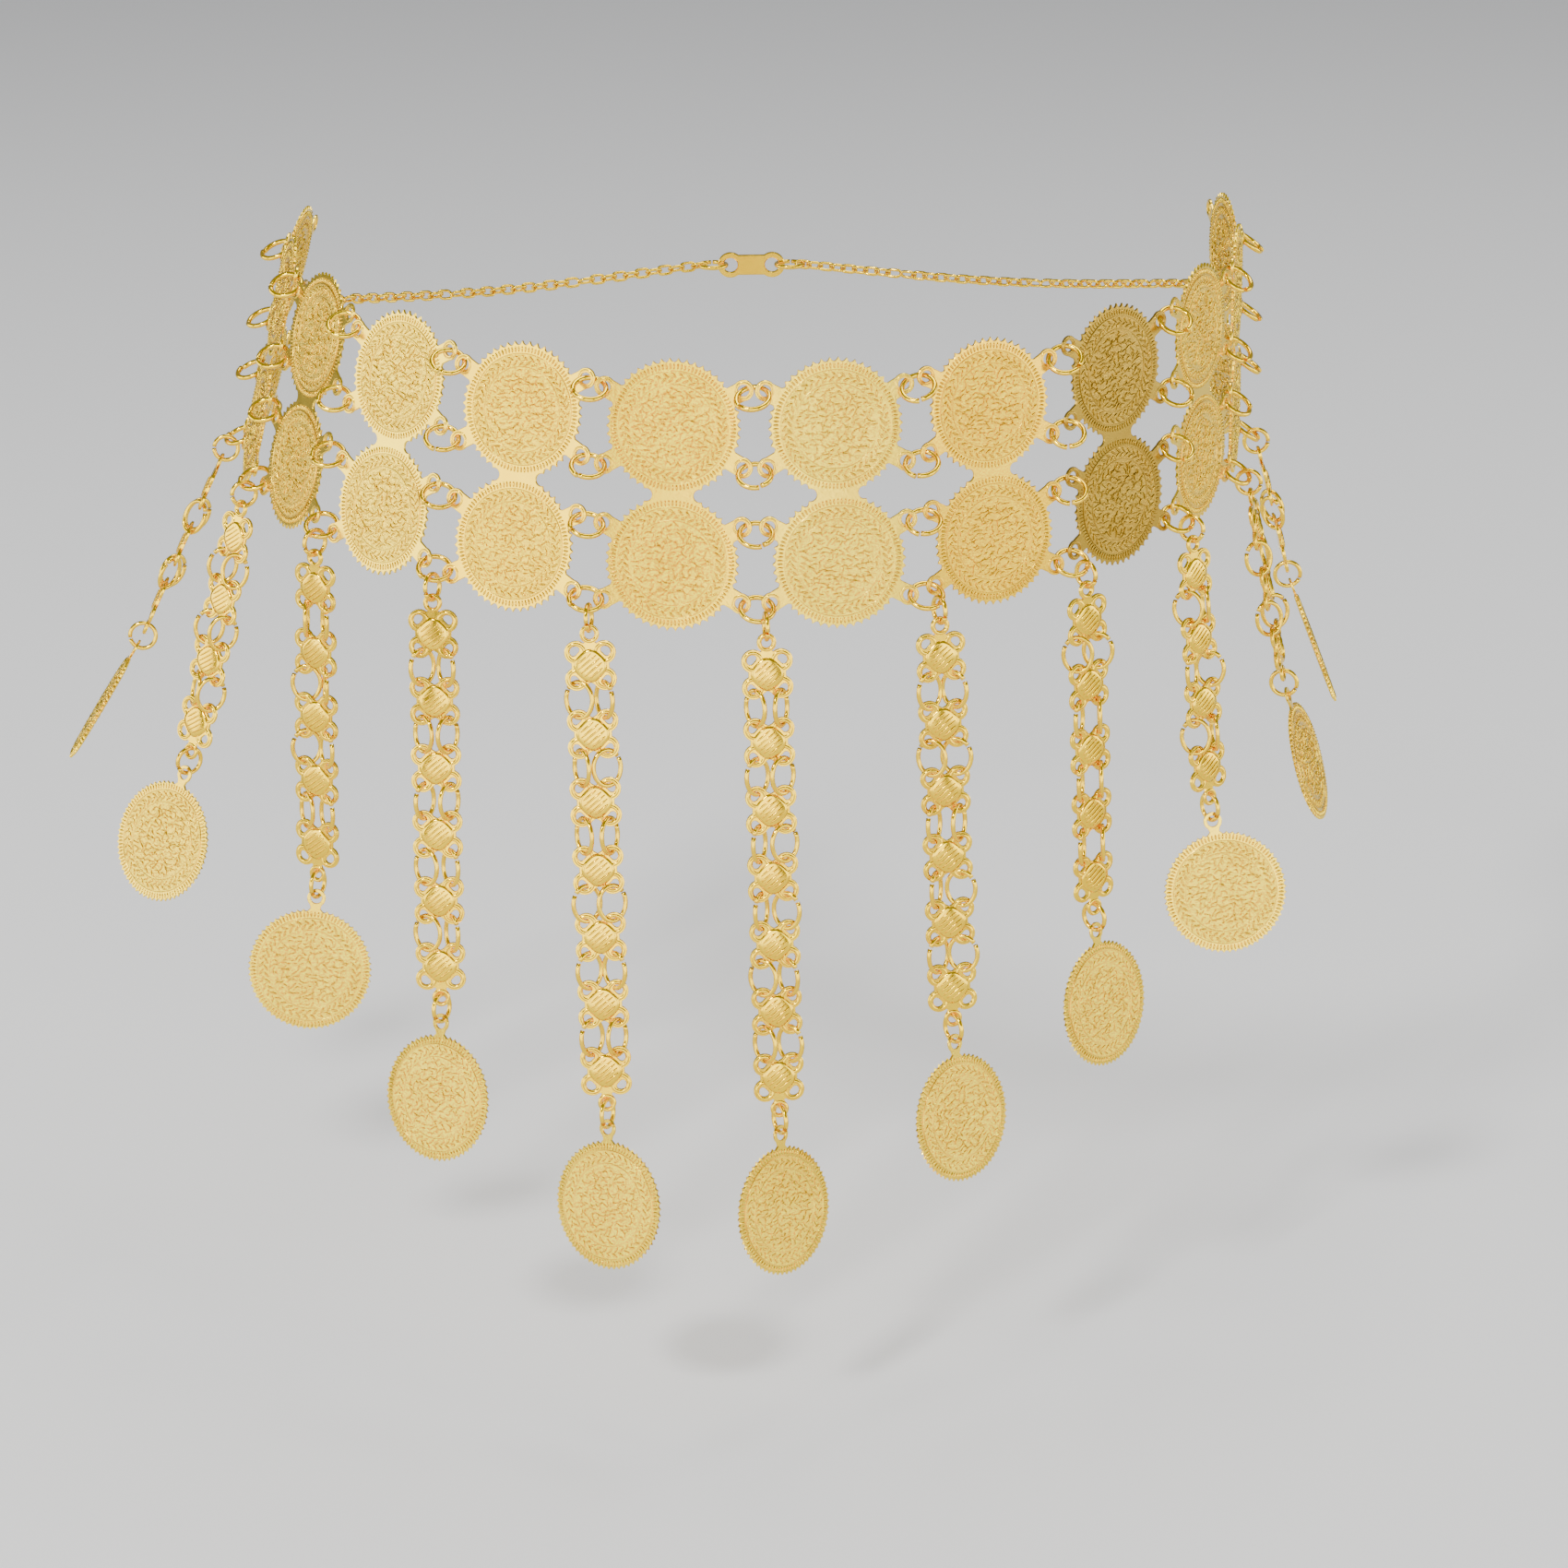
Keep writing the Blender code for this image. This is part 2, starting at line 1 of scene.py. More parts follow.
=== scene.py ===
"""Dresses the frame of a waist chain: stamped double coins, jump rings, flower links and coin drops.

World axes are the frame's: +Z up, the wearer's front towards -Y, +X to a viewer's right.
"""

import json
import logging
import math
import random
from dataclasses import dataclass, field
from enum import Enum

import bmesh
import bpy
from mathutils import Matrix, Vector
from mathutils.geometry import tessellate_polygon


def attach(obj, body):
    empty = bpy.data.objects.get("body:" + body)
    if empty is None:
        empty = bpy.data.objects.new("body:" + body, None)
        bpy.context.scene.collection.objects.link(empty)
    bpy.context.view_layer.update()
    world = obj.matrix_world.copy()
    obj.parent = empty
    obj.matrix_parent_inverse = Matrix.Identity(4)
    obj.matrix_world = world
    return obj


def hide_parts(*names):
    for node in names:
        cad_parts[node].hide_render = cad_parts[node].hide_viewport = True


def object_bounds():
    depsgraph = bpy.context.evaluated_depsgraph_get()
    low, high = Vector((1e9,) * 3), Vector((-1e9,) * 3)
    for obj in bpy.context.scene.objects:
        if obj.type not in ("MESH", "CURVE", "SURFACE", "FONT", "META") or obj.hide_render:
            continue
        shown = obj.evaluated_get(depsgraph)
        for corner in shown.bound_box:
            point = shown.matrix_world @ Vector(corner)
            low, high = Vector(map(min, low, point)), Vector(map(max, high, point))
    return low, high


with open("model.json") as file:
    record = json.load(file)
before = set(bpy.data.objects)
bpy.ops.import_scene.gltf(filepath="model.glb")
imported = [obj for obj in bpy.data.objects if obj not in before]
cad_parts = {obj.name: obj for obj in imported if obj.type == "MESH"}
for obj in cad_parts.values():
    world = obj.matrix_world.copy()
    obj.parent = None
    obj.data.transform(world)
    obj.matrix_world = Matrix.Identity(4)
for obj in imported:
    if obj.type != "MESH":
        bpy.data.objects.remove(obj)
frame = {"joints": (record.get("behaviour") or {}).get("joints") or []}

CAD_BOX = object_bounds()
LOG = logging.getLogger("waist_chain")
MM = 0.001
UP = Vector((0.0, 0.0, 1.0))
# The second material of a coin is its grained field
FIELD_SLOT = 1
# Points on one tooth, and the power that shapes it
TOOTH_STEPS = 6
TOOTH_SHARPNESS = 0.8
# Corners of a ring wire's section
WIRE_SIDES = 8
# Different reliefs of the pendants, and the number of the first one's pattern
DROP_RELIEFS = 3
DROP_RELIEF_SEED = 20
# Places along a ridge with its half width and height there, in shares of its size
RIDGE_SECTIONS = ((-0.95, 0.35), (-0.55, 0.85), (0.0, 0.95), (0.55, 0.85), (0.95, 0.35))

Point = tuple[float, float]
Solid = tuple[list[Vector], list[tuple[int, ...]]]


class Tone(Enum):
    """How deep the gold of a piece is: linear colour and roughness. The shaded tones are painted shade:
    deeper copies of the one plate gold for plates that face away and mirror darker surroundings.
    """

    PALE = ((0.980, 0.690, 0.040), 0.15)
    WARM = ((0.980, 0.655, 0.018), 0.15)
    # Painted shade: the two tones below darken the plate gold where a plate mirrors darker surroundings
    DEEP = ((0.900, 0.570, 0.015), 0.15)
    BRONZE = ((0.460, 0.300, 0.035), 0.19)


class Bend(Enum):
    """How far a raised stroke bows to one side, in its own widths."""

    STRAIGHT = 0.0
    UP = 2.3
    DOWN = -2.3


class Side(Enum):
    """The wearer's side that a closing chain lies on, as the viewer sees it."""

    LEFT = -1
    RIGHT = 1


@dataclass
class Place:
    """A place with three axes: u along the belt, v down and w out of the face."""

    origin: Vector
    u: Vector
    v: Vector

    def __post_init__(self) -> None:
        """Squares the axes."""
        self.u = self.u.normalized()
        self.v = (self.v - self.u * self.v.dot(self.u)).normalized()
        self.w = self.v.cross(self.u).normalized()

    def at(self, u: float, v: float, w: float = 0.0) -> Vector:
        """Returns the world point at these distances along the axes."""
        return self.origin + self.u * u + self.v * v + self.w * w

    def matrix(self) -> Matrix:
        """Returns the matrix from a shape drawn in x = u, y = -v and z = w to the world."""
        turned = Matrix((self.u, -self.v, self.w)).transposed().to_4x4()
        return Matrix.Translation(self.origin) @ turned


@dataclass(frozen=True)
class GoldFinish:
    """Gold plating with a fine stamped grain, soft colour changes and small scratches.

    Attributes:
        name: The material's name.
        tone: How deep the gold is; a shaded tone is painted shade.
        grain: Height of the fine stamped texture, in metres.
        grain_size: Size of one grain, in metres.
        swirl: How far the grain is drawn out into curls.
        cloud_size: Size of the soft colour changes, in metres.
        cloud_edges: Where in the noise the dark gold ends and the light gold starts.
        dark_share: The dark gold's colour as shares of the light gold's.
        wear_size: Size of the rubbed spots, in metres.
        smoother: How much smoother than the tone the brightest spots are.
        rougher: How much rougher than the tone the dullest spots are.
    """

    name: str
    tone: Tone
    grain: float = 0.00002
    grain_size: float = 0.0012
    swirl: float = 1.2
    cloud_size: float = 1 / 90
    cloud_edges: tuple[float, float] = (0.35, 0.70)
    dark_share: tuple[float, float, float] = (0.93, 0.88, 0.78)
    wear_size: float = 1 / 420
    smoother: float = 0.07
    rougher: float = 0.10

    def material(self) -> bpy.types.Material:
        """Builds the node material.

        Returns:
            The finished material, or the one already made under this name.
        """
        made = bpy.data.materials.get(self.name)
        if made:
            return made
        made = bpy.data.materials.new(self.name)
        made.use_nodes = True
        nodes = made.node_tree.nodes
        links = made.node_tree.links
        shader = nodes["Principled BSDF"]
        color, roughness = self.tone.value
        shader.inputs["Metallic"].default_value = 1.0

        ramp = nodes.new("ShaderNodeValToRGB")
        dark, light = ramp.color_ramp.elements
        dark.position, light.position = self.cloud_edges
        dark.color = (*(part * share for part, share in zip(color, self.dark_share)), 1.0)
        light.color = (*color, 1.0)
        links.new(self.noise(made.node_tree, self.cloud_size, 3.0), ramp.inputs["Fac"])
        links.new(ramp.outputs["Color"], shader.inputs["Base Color"])

        spread = nodes.new("ShaderNodeMapRange")
        spread.inputs["To Min"].default_value = roughness - self.smoother
        spread.inputs["To Max"].default_value = roughness + self.rougher
        links.new(self.noise(made.node_tree, self.wear_size, 4.0), spread.inputs["Value"])
        links.new(spread.outputs["Result"], shader.inputs["Roughness"])

        bump = nodes.new("ShaderNodeBump")
        bump.inputs["Strength"].default_value = 1.0
        bump.inputs["Distance"].default_value = self.grain
        links.new(self.noise(made.node_tree, self.grain_size, 2.0, self.swirl), bump.inputs["Height"])
        links.new(bump.outputs["Normal"], shader.inputs["Normal"])
        return made

    def noise(
        self, tree: bpy.types.NodeTree, size: float, detail: float, distortion: float = 0.0
    ) -> bpy.types.NodeSocket:
        """Adds a noise in object coordinates.

        Args:
            tree: The material's node tree.
            size: Size of one spot, in metres.
            detail: How many finer layers it has.
            distortion: How far it is drawn out into curls.

        Returns:
            The noise's value socket.
        """
        place = tree.nodes.new("ShaderNodeTexCoord")
        noise = tree.nodes.new("ShaderNodeTexNoise")
        noise.inputs["Scale"].default_value = 1.0 / size
        noise.inputs["Detail"].default_value = detail
        noise.inputs["Distortion"].default_value = distortion
        tree.links.new(place.outputs["Object"], noise.inputs["Vector"])
        return noise.outputs["Fac"]


def polar(center: Point, radius: float, degrees: float) -> Point:
    """Returns a point in (u, v) round a centre: 0 degrees along u and 90 down."""
    turn = math.radians(degrees)
    return (center[0] + radius * math.cos(turn), center[1] + radius * math.sin(turn))


def arc(center: Point, radius: float, start: float, end: float, count: int) -> list[Point]:
    """Returns points along an arc, both ends included."""
    return [polar(center, radius, start + (end - start) * step / (count - 1)) for step in range(count)]


def circle(center: Point, radius: float, count: int) -> list[Point]:
    """Returns the points of a full circle."""
    return [polar(center, radius, 360.0 * step / count) for step in range(count)]


def toothed_arc(
    center: Point, radius: float, depth: float, teeth: int, start: float, end: float
) -> list[Point]:
    """Returns the edge of a toothed coin between two directions.

    Args:
        center: The coin's centre.
        radius: Radius over the tips of the teeth.
        depth: How deep the rounded valleys are cut.
        teeth: Teeth on a whole turn.
        start: First direction in degrees.
        end: Last direction in degrees.

    Returns:
        Points with sharp tips and round valleys.
    """
    steps = max(2, round((end - start) / 360.0 * teeth * TOOTH_STEPS))
    points = []
    for step in range(steps + 1):
        turn = start + (end - start) * step / steps
        valley = abs(math.sin(math.radians(turn) * teeth / 2)) ** TOOTH_SHARPNESS
        points.append(polar(center, radius - depth * valley, turn))
    return points


def inset(loop: list[Point], distance: float) -> list[Point]:
    """Moves an outline inwards along its normals, for a small edge break."""
    area = sum(p[0] * q[1] - q[0] * p[1] for p, q in zip(loop, loop[1:] + loop[:1]))
    side = distance if area > 0 else -distance
    moved = []
    for before, here, after in zip(loop[-1:] + loop[:-1], loop, loop[1:] + loop[:1]):
        along = Vector((after[0] - before[0], after[1] - before[1])).normalized()
        moved.append((here[0] - along.y * side, here[1] + along.x * side))
    return moved


def stamped_sheet(loops: list[list[Point]], thickness: float, edge: float) -> bmesh.types.BMesh:
    """Makes a flat sheet with broken edges, drawn in x = u, y = -v and z = w.

    Args:
        loops: The outline first, then the holes.
        thickness: The sheet's thickness.
        edge: Width and height of the edge break.

    Returns:
        The sheet as a new BMesh.
    """
    shape = bmesh.new()
    inner = [inset(loops[0], edge)] + [inset(loop, -edge) for loop in loops[1:]]
    flat = [Vector((u, -v, 0.0)) for loop in inner for u, v in loop]
    wide = [Vector((u, -v, 0.0)) for loop in loops for u, v in loop]
    caps = tessellate_polygon([[Vector((u, -v, 0.0)) for u, v in loop] for loop in inner])
    half = thickness / 2
    rows = []
    for outline, height in ((flat, half), (wide, half - edge), (wide, edge - half), (flat, -half)):
        rows.append([shape.verts.new((p.x, p.y, height)) for p in outline])
    for a, b, c in caps:
        shape.faces.new((rows[0][a], rows[0][b], rows[0][c]))
        shape.faces.new((rows[3][c], rows[3][b], rows[3][a]))
    start = 0
    for loop in loops:
        for step in range(len(loop)):
            a = start + step
            b = start + (step + 1) % len(loop)
            for upper, lower in zip(rows, rows[1:]):
                shape.faces.new((upper[a], upper[b], lower[b], lower[a]))
        start += len(loop)
    bmesh.ops.recalc_face_normals(shape, faces=shape.faces)
    return shape


def wire_loop(path: list[Vector], radius: float, sides: int = WIRE_SIDES, closed: bool = True) -> Solid:
    """Sweeps a round wire along a path.

    Args:
        path: Points of the wire's centre line.
        radius: The wire's radius.
        sides: Corners of its section.
        closed: Whether the path runs back to its start.

    Returns:
        Points and faces of the wire, with flat ends where it is open.
    """
    count = len(path)
    points: list[Vector] = []
    first = path[1] - path[0]
    normal = first.orthogonal().normalized()
    for step, here in enumerate(path):
        if closed:
            along = (path[(step + 1) % count] - path[step - 1]).normalized()
        else:
            along = (path[min(step + 1, count - 1)] - path[max(step - 1, 0)]).normalized()
        normal = (normal - along * normal.dot(along)).normalized()
        across = along.cross(normal)
        for side in range(sides):
            turn = math.tau * side / sides
            points.append(here + normal * radius * math.cos(turn) + across * radius * math.sin(turn))
    faces = []
    for step in range(count if closed else count - 1):
        after = (step + 1) % count
        for side in range(sides):
            beside = (side + 1) % sides
            near, far = step * sides, after * sides
            faces.append((near + side, near + beside, far + beside, far + side))
    if not closed:
        faces.append(tuple(reversed(range(sides))))
        faces.append(tuple(range(len(points) - sides, len(points))))
    return points, faces


def mesh_from(name: str, shape: bmesh.types.BMesh) -> bpy.types.Mesh:
    """Turns a BMesh into a mesh and frees it."""
    mesh = bpy.data.meshes.new(name)
    shape.to_mesh(mesh)
    shape.free()
    return mesh


def add_solid(shape: bmesh.types.BMesh, solid: Solid, slot: int = 0) -> None:
    """Adds points and faces to a BMesh in a material slot, smooth but for its flat ends."""
    points, faces = solid
    made = [shape.verts.new(point) for point in points]
    for face in faces:
        new = shape.faces.new([made[i] for i in face])
        new.smooth = len(face) < 5
        new.material_index = slot


def add_mesh(shape: bmesh.types.BMesh, mesh: bpy.types.Mesh, matrix: Matrix) -> None:
    """Adds a copy of a mesh to a BMesh under a matrix."""
    start = len(shape.verts)
    shape.from_mesh(mesh)
    shape.verts.ensure_lookup_table()
    bmesh.ops.transform(shape, matrix=matrix, verts=shape.verts[start:])


def new_object(name: str, mesh: bpy.types.Mesh) -> bpy.types.Object:
    """Returns a new object at the origin that shows a mesh."""
    obj = bpy.data.objects.new(name, mesh)
    bpy.context.scene.collection.objects.link(obj)
    return obj


def hand_in(obj: bpy.types.Object, body: str, slot: str, *nodes: str) -> None:
    """Rides a finished piece on its body and hides the frame's nodes that it stands for; its slot is not
    used.
    """
    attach(obj, body)
    if nodes:
        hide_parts(*nodes)


class NodeTree:
    """A Geometry Nodes tree under construction, with short calls for its nodes and links."""

    def __init__(self, name: str) -> None:
        """Makes an empty tree with one geometry output."""
        self.tree = bpy.data.node_groups.new(name, "GeometryNodeTree")
        self.tree.interface.new_socket("Geometry", in_out="OUTPUT", socket_type="NodeSocketGeometry")
        self.inputs: dict[str, str] = {}
        self.group_input: bpy.types.Node | None = None

    def take(self, name: str, kind: str) -> None:
        """Adds a named input, such as an object, a number or a material."""
        socket = self.tree.interface.new_socket(name, in_out="INPUT", socket_type=kind)
        self.inputs[name] = socket.identifier

    def node(self, kind: str, **settings: object) -> bpy.types.Node:
        """Adds a node and sets its properties."""
        made = self.tree.nodes.new(kind)
        for key, value in settings.items():
            setattr(made, key, value)
        return made

    def link(self, start: bpy.types.NodeSocket, end: bpy.types.NodeSocket) -> None:
        """Links two sockets."""
        self.tree.links.new(start, end)

    def given(self, name: str) -> bpy.types.NodeSocket:
        """Returns the socket of a named input."""
        if self.group_input is None:
            self.group_input = self.node("NodeGroupInput")
        return self.group_input.outputs[name]

    def end(self, geometry: bpy.types.NodeSocket) -> None:
        """Ends the tree in Realize Instances and Set Material."""
        real = self.node("GeometryNodeRealizeInstances")
        painted = self.node("GeometryNodeSetMaterial")
        output = self.node("NodeGroupOutput")
        self.link(geometry, real.inputs["Geometry"])
        self.link(real.outputs["Geometry"], painted.inputs["Geometry"])
        self.link(self.given("Material"), painted.inputs["Material"])
        self.link(painted.outputs["Geometry"], output.inputs["Geometry"])


class Repeater:
    """Copies a shape onto points that carry a turn and a size, with Geometry Nodes."""

    def __init__(self) -> None:
        """Builds the tree once for every use."""
        tree = NodeTree("copies_on_points")
        tree.take("Geometry", "NodeSocketGeometry")
        tree.take("Shape", "NodeSocketObject")
        tree.take("Material", "NodeSocketMaterial")
        shape = tree.node("GeometryNodeObjectInfo")
        tree.link(tree.given("Shape"), shape.inputs["Object"])
        turn = tree.node("GeometryNodeInputNamedAttribute", data_type="FLOAT_VECTOR")
        turn.inputs["Name"].default_value = "turn"
        size = tree.node("GeometryNodeInputNamedAttribute", data_type="FLOAT_VECTOR")
        size.inputs["Name"].default_value = "size"
        copies = tree.node("GeometryNodeInstanceOnPoints")
        tree.link(tree.given("Geometry"), copies.inputs["Points"])
        tree.link(shape.outputs["Geometry"], copies.inputs["Instance"])
        tree.link(turn.outputs["Attribute"], copies.inputs["Rotation"])
        tree.link(size.outputs["Attribute"], copies.inputs["Scale"])
        tree.end(copies.outputs["Instances"])
        self.tree = tree

    def copies(
        self,
        name: str,
        shape: bpy.types.Mesh,
        places: list[tuple[Matrix, Vector]],
        finish: bpy.types.Material,
    ) -> bpy.types.Mesh:
        """Returns one plain mesh of all the copies.

        Args:
            name: Name of the new mesh.
            shape: The mesh that is repeated.
            places: A matrix with the place and turn of each copy, and its size along its own axes.
            finish: The material of the copies.

        Returns:
            The copies, made real.
        """
        points = bpy.data.meshes.new(name + "_points")
        points.from_pydata([tuple(matrix.translation) for matrix, _ in places], [], [])
        turns = points.attributes.new("turn", "FLOAT_VECTOR", "POINT")
        sizes = points.attributes.new("size", "FLOAT_VECTOR", "POINT")
        for number, (matrix, size) in enumerate(places):
            turns.data[number].vector = matrix.to_euler()
            sizes.data[number].vector = size
        carrier = new_object(name + "_carrier", points)
        pattern = new_object(name + "_pattern", shape)
        modifier = carrier.modifiers.new("copies", "NODES")
        modifier.node_group = self.tree.tree
        modifier[self.tree.inputs["Shape"]] = pattern
        modifier[self.tree.inputs["Material"]] = finish
        depsgraph = bpy.context.evaluated_depsgraph_get()
        made = bpy.data.meshes.new_from_object(carrier.evaluated_get(depsgraph))
        made.name = name
        carrier.modifiers.remove(modifier)
        bpy.data.objects.remove(carrier)
        bpy.data.objects.remove(pattern)
        return made


@dataclass
class Ornament:
    """The stamped relief of one coin face.

    It has a ribbed rim, two ring lines, a leaf wreath and rows of short bowed strokes.

    Attributes:
        repeater: Copies the ridge onto its places.
        rim: Radius of the middle of the ribbed rim band.
        ribs: Ribs on the rim.
        rib_size: Half length, half width and height of a rib.
        line_radius: Radius of the outer ring line.
        line_wire: Half height of a ring line.
        line_points: Corners of a ring line.
        wreath: Radius of the wreath's middle.
        leaves: Pairs of leaves in the wreath.
        leaf_size: Half length, half width and height of a leaf.
        leaf_spread: How far a leaf stands off the wreath's middle, in its own half lengths.
        leaf_shift: How far the inner leaves are set on, as a share of their pitch.
        leaf_turn: How far a leaf is turned from the radius, in degrees.
        inner_line: Radius of the inner ring line.
        field_radius: Radius of the grained disc.
        field_rise: How high the grained disc stands over the sheet.
        field_points: Corners of the grained disc.
        row_pitch: Distance from one row of strokes to the next.
        stroke_pitch: Mean distance between strokes in a row.
        stroke_size: Half length, half width and height of a stroke.
        stroke_wander: Spread of the strokes' turns, in degrees.
        stroke_turns: Turns that a stroke is given before that spread, in degrees.
        stroke_lengths: Shortest and longest stroke, as shares of its size.
        stroke_gaps: Closest and widest step to the next stroke, as shares of their pitch.
        row_wander: How far a stroke strays from its row, as a share of the row pitch.
        seed: Seed of the scattered strokes.
    """

    repeater: Repeater
    rim: float = 17.75 * MM
    ribs: int = 100
    rib_size: Vector = field(default_factory=lambda: Vector((0.90, 0.36, 0.40)) * MM)
    line_radius: float = 16.5 * MM
    line_wire: float = 0.17 * MM
    line_points: int = 72
    wreath: float = 14.5 * MM
    leaves: int = 40
    leaf_size: Vector = field(default_factory=lambda: Vector((1.15, 0.36, 0.38)) * MM)
    leaf_spread: float = 0.62
    leaf_shift: float = 0.4
    leaf_turn: float = 50.0
    inner_line: float = 12.6 * MM
    field_radius: float = 16.6 * MM
    field_rise: float = 0.08 * MM
    field_points: int = 64
    row_pitch: float = 1.40 * MM
    stroke_pitch: float = 2.15 * MM
    stroke_size: Vector = field(default_factory=lambda: Vector((1.20, 0.27, 0.42)) * MM)
    stroke_wander: float = 26.0
    stroke_turns: tuple[float, ...] = (0.0, 0.0, 0.0, 70.0)
    stroke_lengths: tuple[float, float] = (0.60, 1.30)
    stroke_gaps: tuple[float, float] = (0.70, 1.25)
    row_wander: float = 0.25
    seed: int = 11

    def ridge(self, bend: Bend = Bend.STRAIGHT) -> bpy.types.Mesh:
        """Returns the shape that is repeated: a low pointed ridge, one unit long and high each way."""
        shape = bmesh.new()
        rows = []
        for along, width in RIDGE_SECTIONS:
            aside = bend.value * (1 - along**2)
            rows.append([
                shape.verts.new((along, aside - width, 0.0)),
                shape.verts.new((along, aside, width)),
                shape.verts.new((along, aside + width, 0.0)),
            ])
        for low, high in zip(rows, rows[1:]):
            for side in range(3):
                shape.faces.new((low[side], high[side], high[(side + 1) % 3], low[(side + 1) % 3]))
        shape.faces.new(tuple(rows[0]))
        shape.faces.new(tuple(reversed(rows[-1])))
        bmesh.ops.recalc_face_normals(shape, faces=shape.faces)
        for face in shape.faces:
            face.smooth = True
        return mesh_from("ridge", shape)

    def ring_line(self, radius: float, height: float) -> Solid:
        """Returns a thin raised ring on the face."""
        path = [Vector((*point, height)) for point in circle((0.0, 0.0), radius, self.line_points)]
        return wire_loop(path, self.line_wire, sides=4)

    def spoke(self, radius: float, direction: float, turn: float, height: float) -> Matrix:
        """Returns the matrix of a ridge at a radius and direction, turned by an angle from the radius."""
        x, y = polar((0.0, 0.0), radius, direction)
        return Matrix.Translation((x, y, height)) @ Matrix.Rotation(math.radians(direction + turn), 4, "Z")

    def border_places(self, height: float) -> list[tuple[Matrix, Vector]]:
        """Returns the place and size of every rib and leaf on a face at a height."""
        made = []
        for rib in range(self.ribs):
            made.append((self.spoke(self.rim, 360.0 * rib / self.ribs, 0.0, height), self.rib_size))
        raised = height + self.field_rise
        for leaf in range(self.leaves):
            for side, shift in ((1, 0.0), (-1, self.leaf_shift)):
                radius = self.wreath + side * self.leaf_spread * self.leaf_size.x
                direction = 360.0 * (leaf + shift) / self.leaves
                made.append((self.spoke(radius, direction, side * self.leaf_turn, raised), self.leaf_size))
        return made

    def stroke_places(self, height: float, seed: int) -> dict[Bend, list[tuple[Matrix, Vector]]]:
        """Returns the strokes of the inner field in wavy rows, by how each is bent."""
        chance = random.Random(self.seed + seed)
        made: dict[Bend, list[tuple[Matrix, Vector]]] = {bend: [] for bend in Bend}
        reach = self.inner_line - self.stroke_size.x
        rows = int(reach / self.row_pitch)
        for row in range(-rows, rows + 1):
            level = row * self.row_pitch
            half = math.sqrt(reach**2 - level**2)
            along = chance.uniform(0.0, 0.5) * self.stroke_pitch - half
            while along < half:
                turn = math.radians(chance.gauss(0.0, self.stroke_wander) + chance.choice(self.stroke_turns))
                size = self.stroke_size.copy()
                size.x *= chance.uniform(*self.stroke_lengths)
                aside = chance.uniform(-self.row_wander, self.row_wander) * self.row_pitch
                place = Matrix.Translation((along, level + aside, height)) @ Matrix.Rotation(turn, 4, "Z")
                made[chance.choice(list(Bend))].append((place, size))
                along += self.stroke_pitch * chance.uniform(*self.stroke_gaps)
        return made

    def field_disc(self, height: float) -> Solid:
        """Returns the low grained disc that carries the wreath and the strokes."""
        sides = self.field_points
        edge = circle((0.0, 0.0), self.field_radius, sides)
        low = [Vector((*point, height - self.field_rise)) for point in edge]
        high = [Vector((*point, height + self.field_rise)) for point in edge]
        faces = [(k, (k + 1) % sides, sides + (k + 1) % sides, sides + k) for k in range(sides)]
        faces.append(tuple(range(sides, 2 * sides)))
        faces.append(tuple(reversed(range(sides))))
        return low + high, faces

    def relief(self, name: str, height: float, seed: int, finish: bpy.types.Material) -> bpy.types.Mesh:
        """Builds the whole relief of one face.

        Args:
            name: First part of the mesh's name.
            height: The sheet's face above its middle.
            seed: Number of this pattern.
            finish: The material of the copies.

        Returns:
            One mesh centred on the coin.
        """
        raised = height + self.field_rise
        shape = bmesh.new()
        copies = self.repeater.copies
        shape.from_mesh(copies(name + "_border", self.ridge(), self.border_places(height), finish))
        for bend, places in self.stroke_places(raised, seed).items():
            shape.from_mesh(copies(f"{name}_{bend.name.lower()}", self.ridge(bend), places, finish))
        add_solid(shape, self.ring_line(self.line_radius, raised))
        add_solid(shape, self.ring_line(self.inner_line, raised))
        add_solid(shape, self.field_disc(height), FIELD_SLOT)
        return mesh_from(name + "_relief", shape)


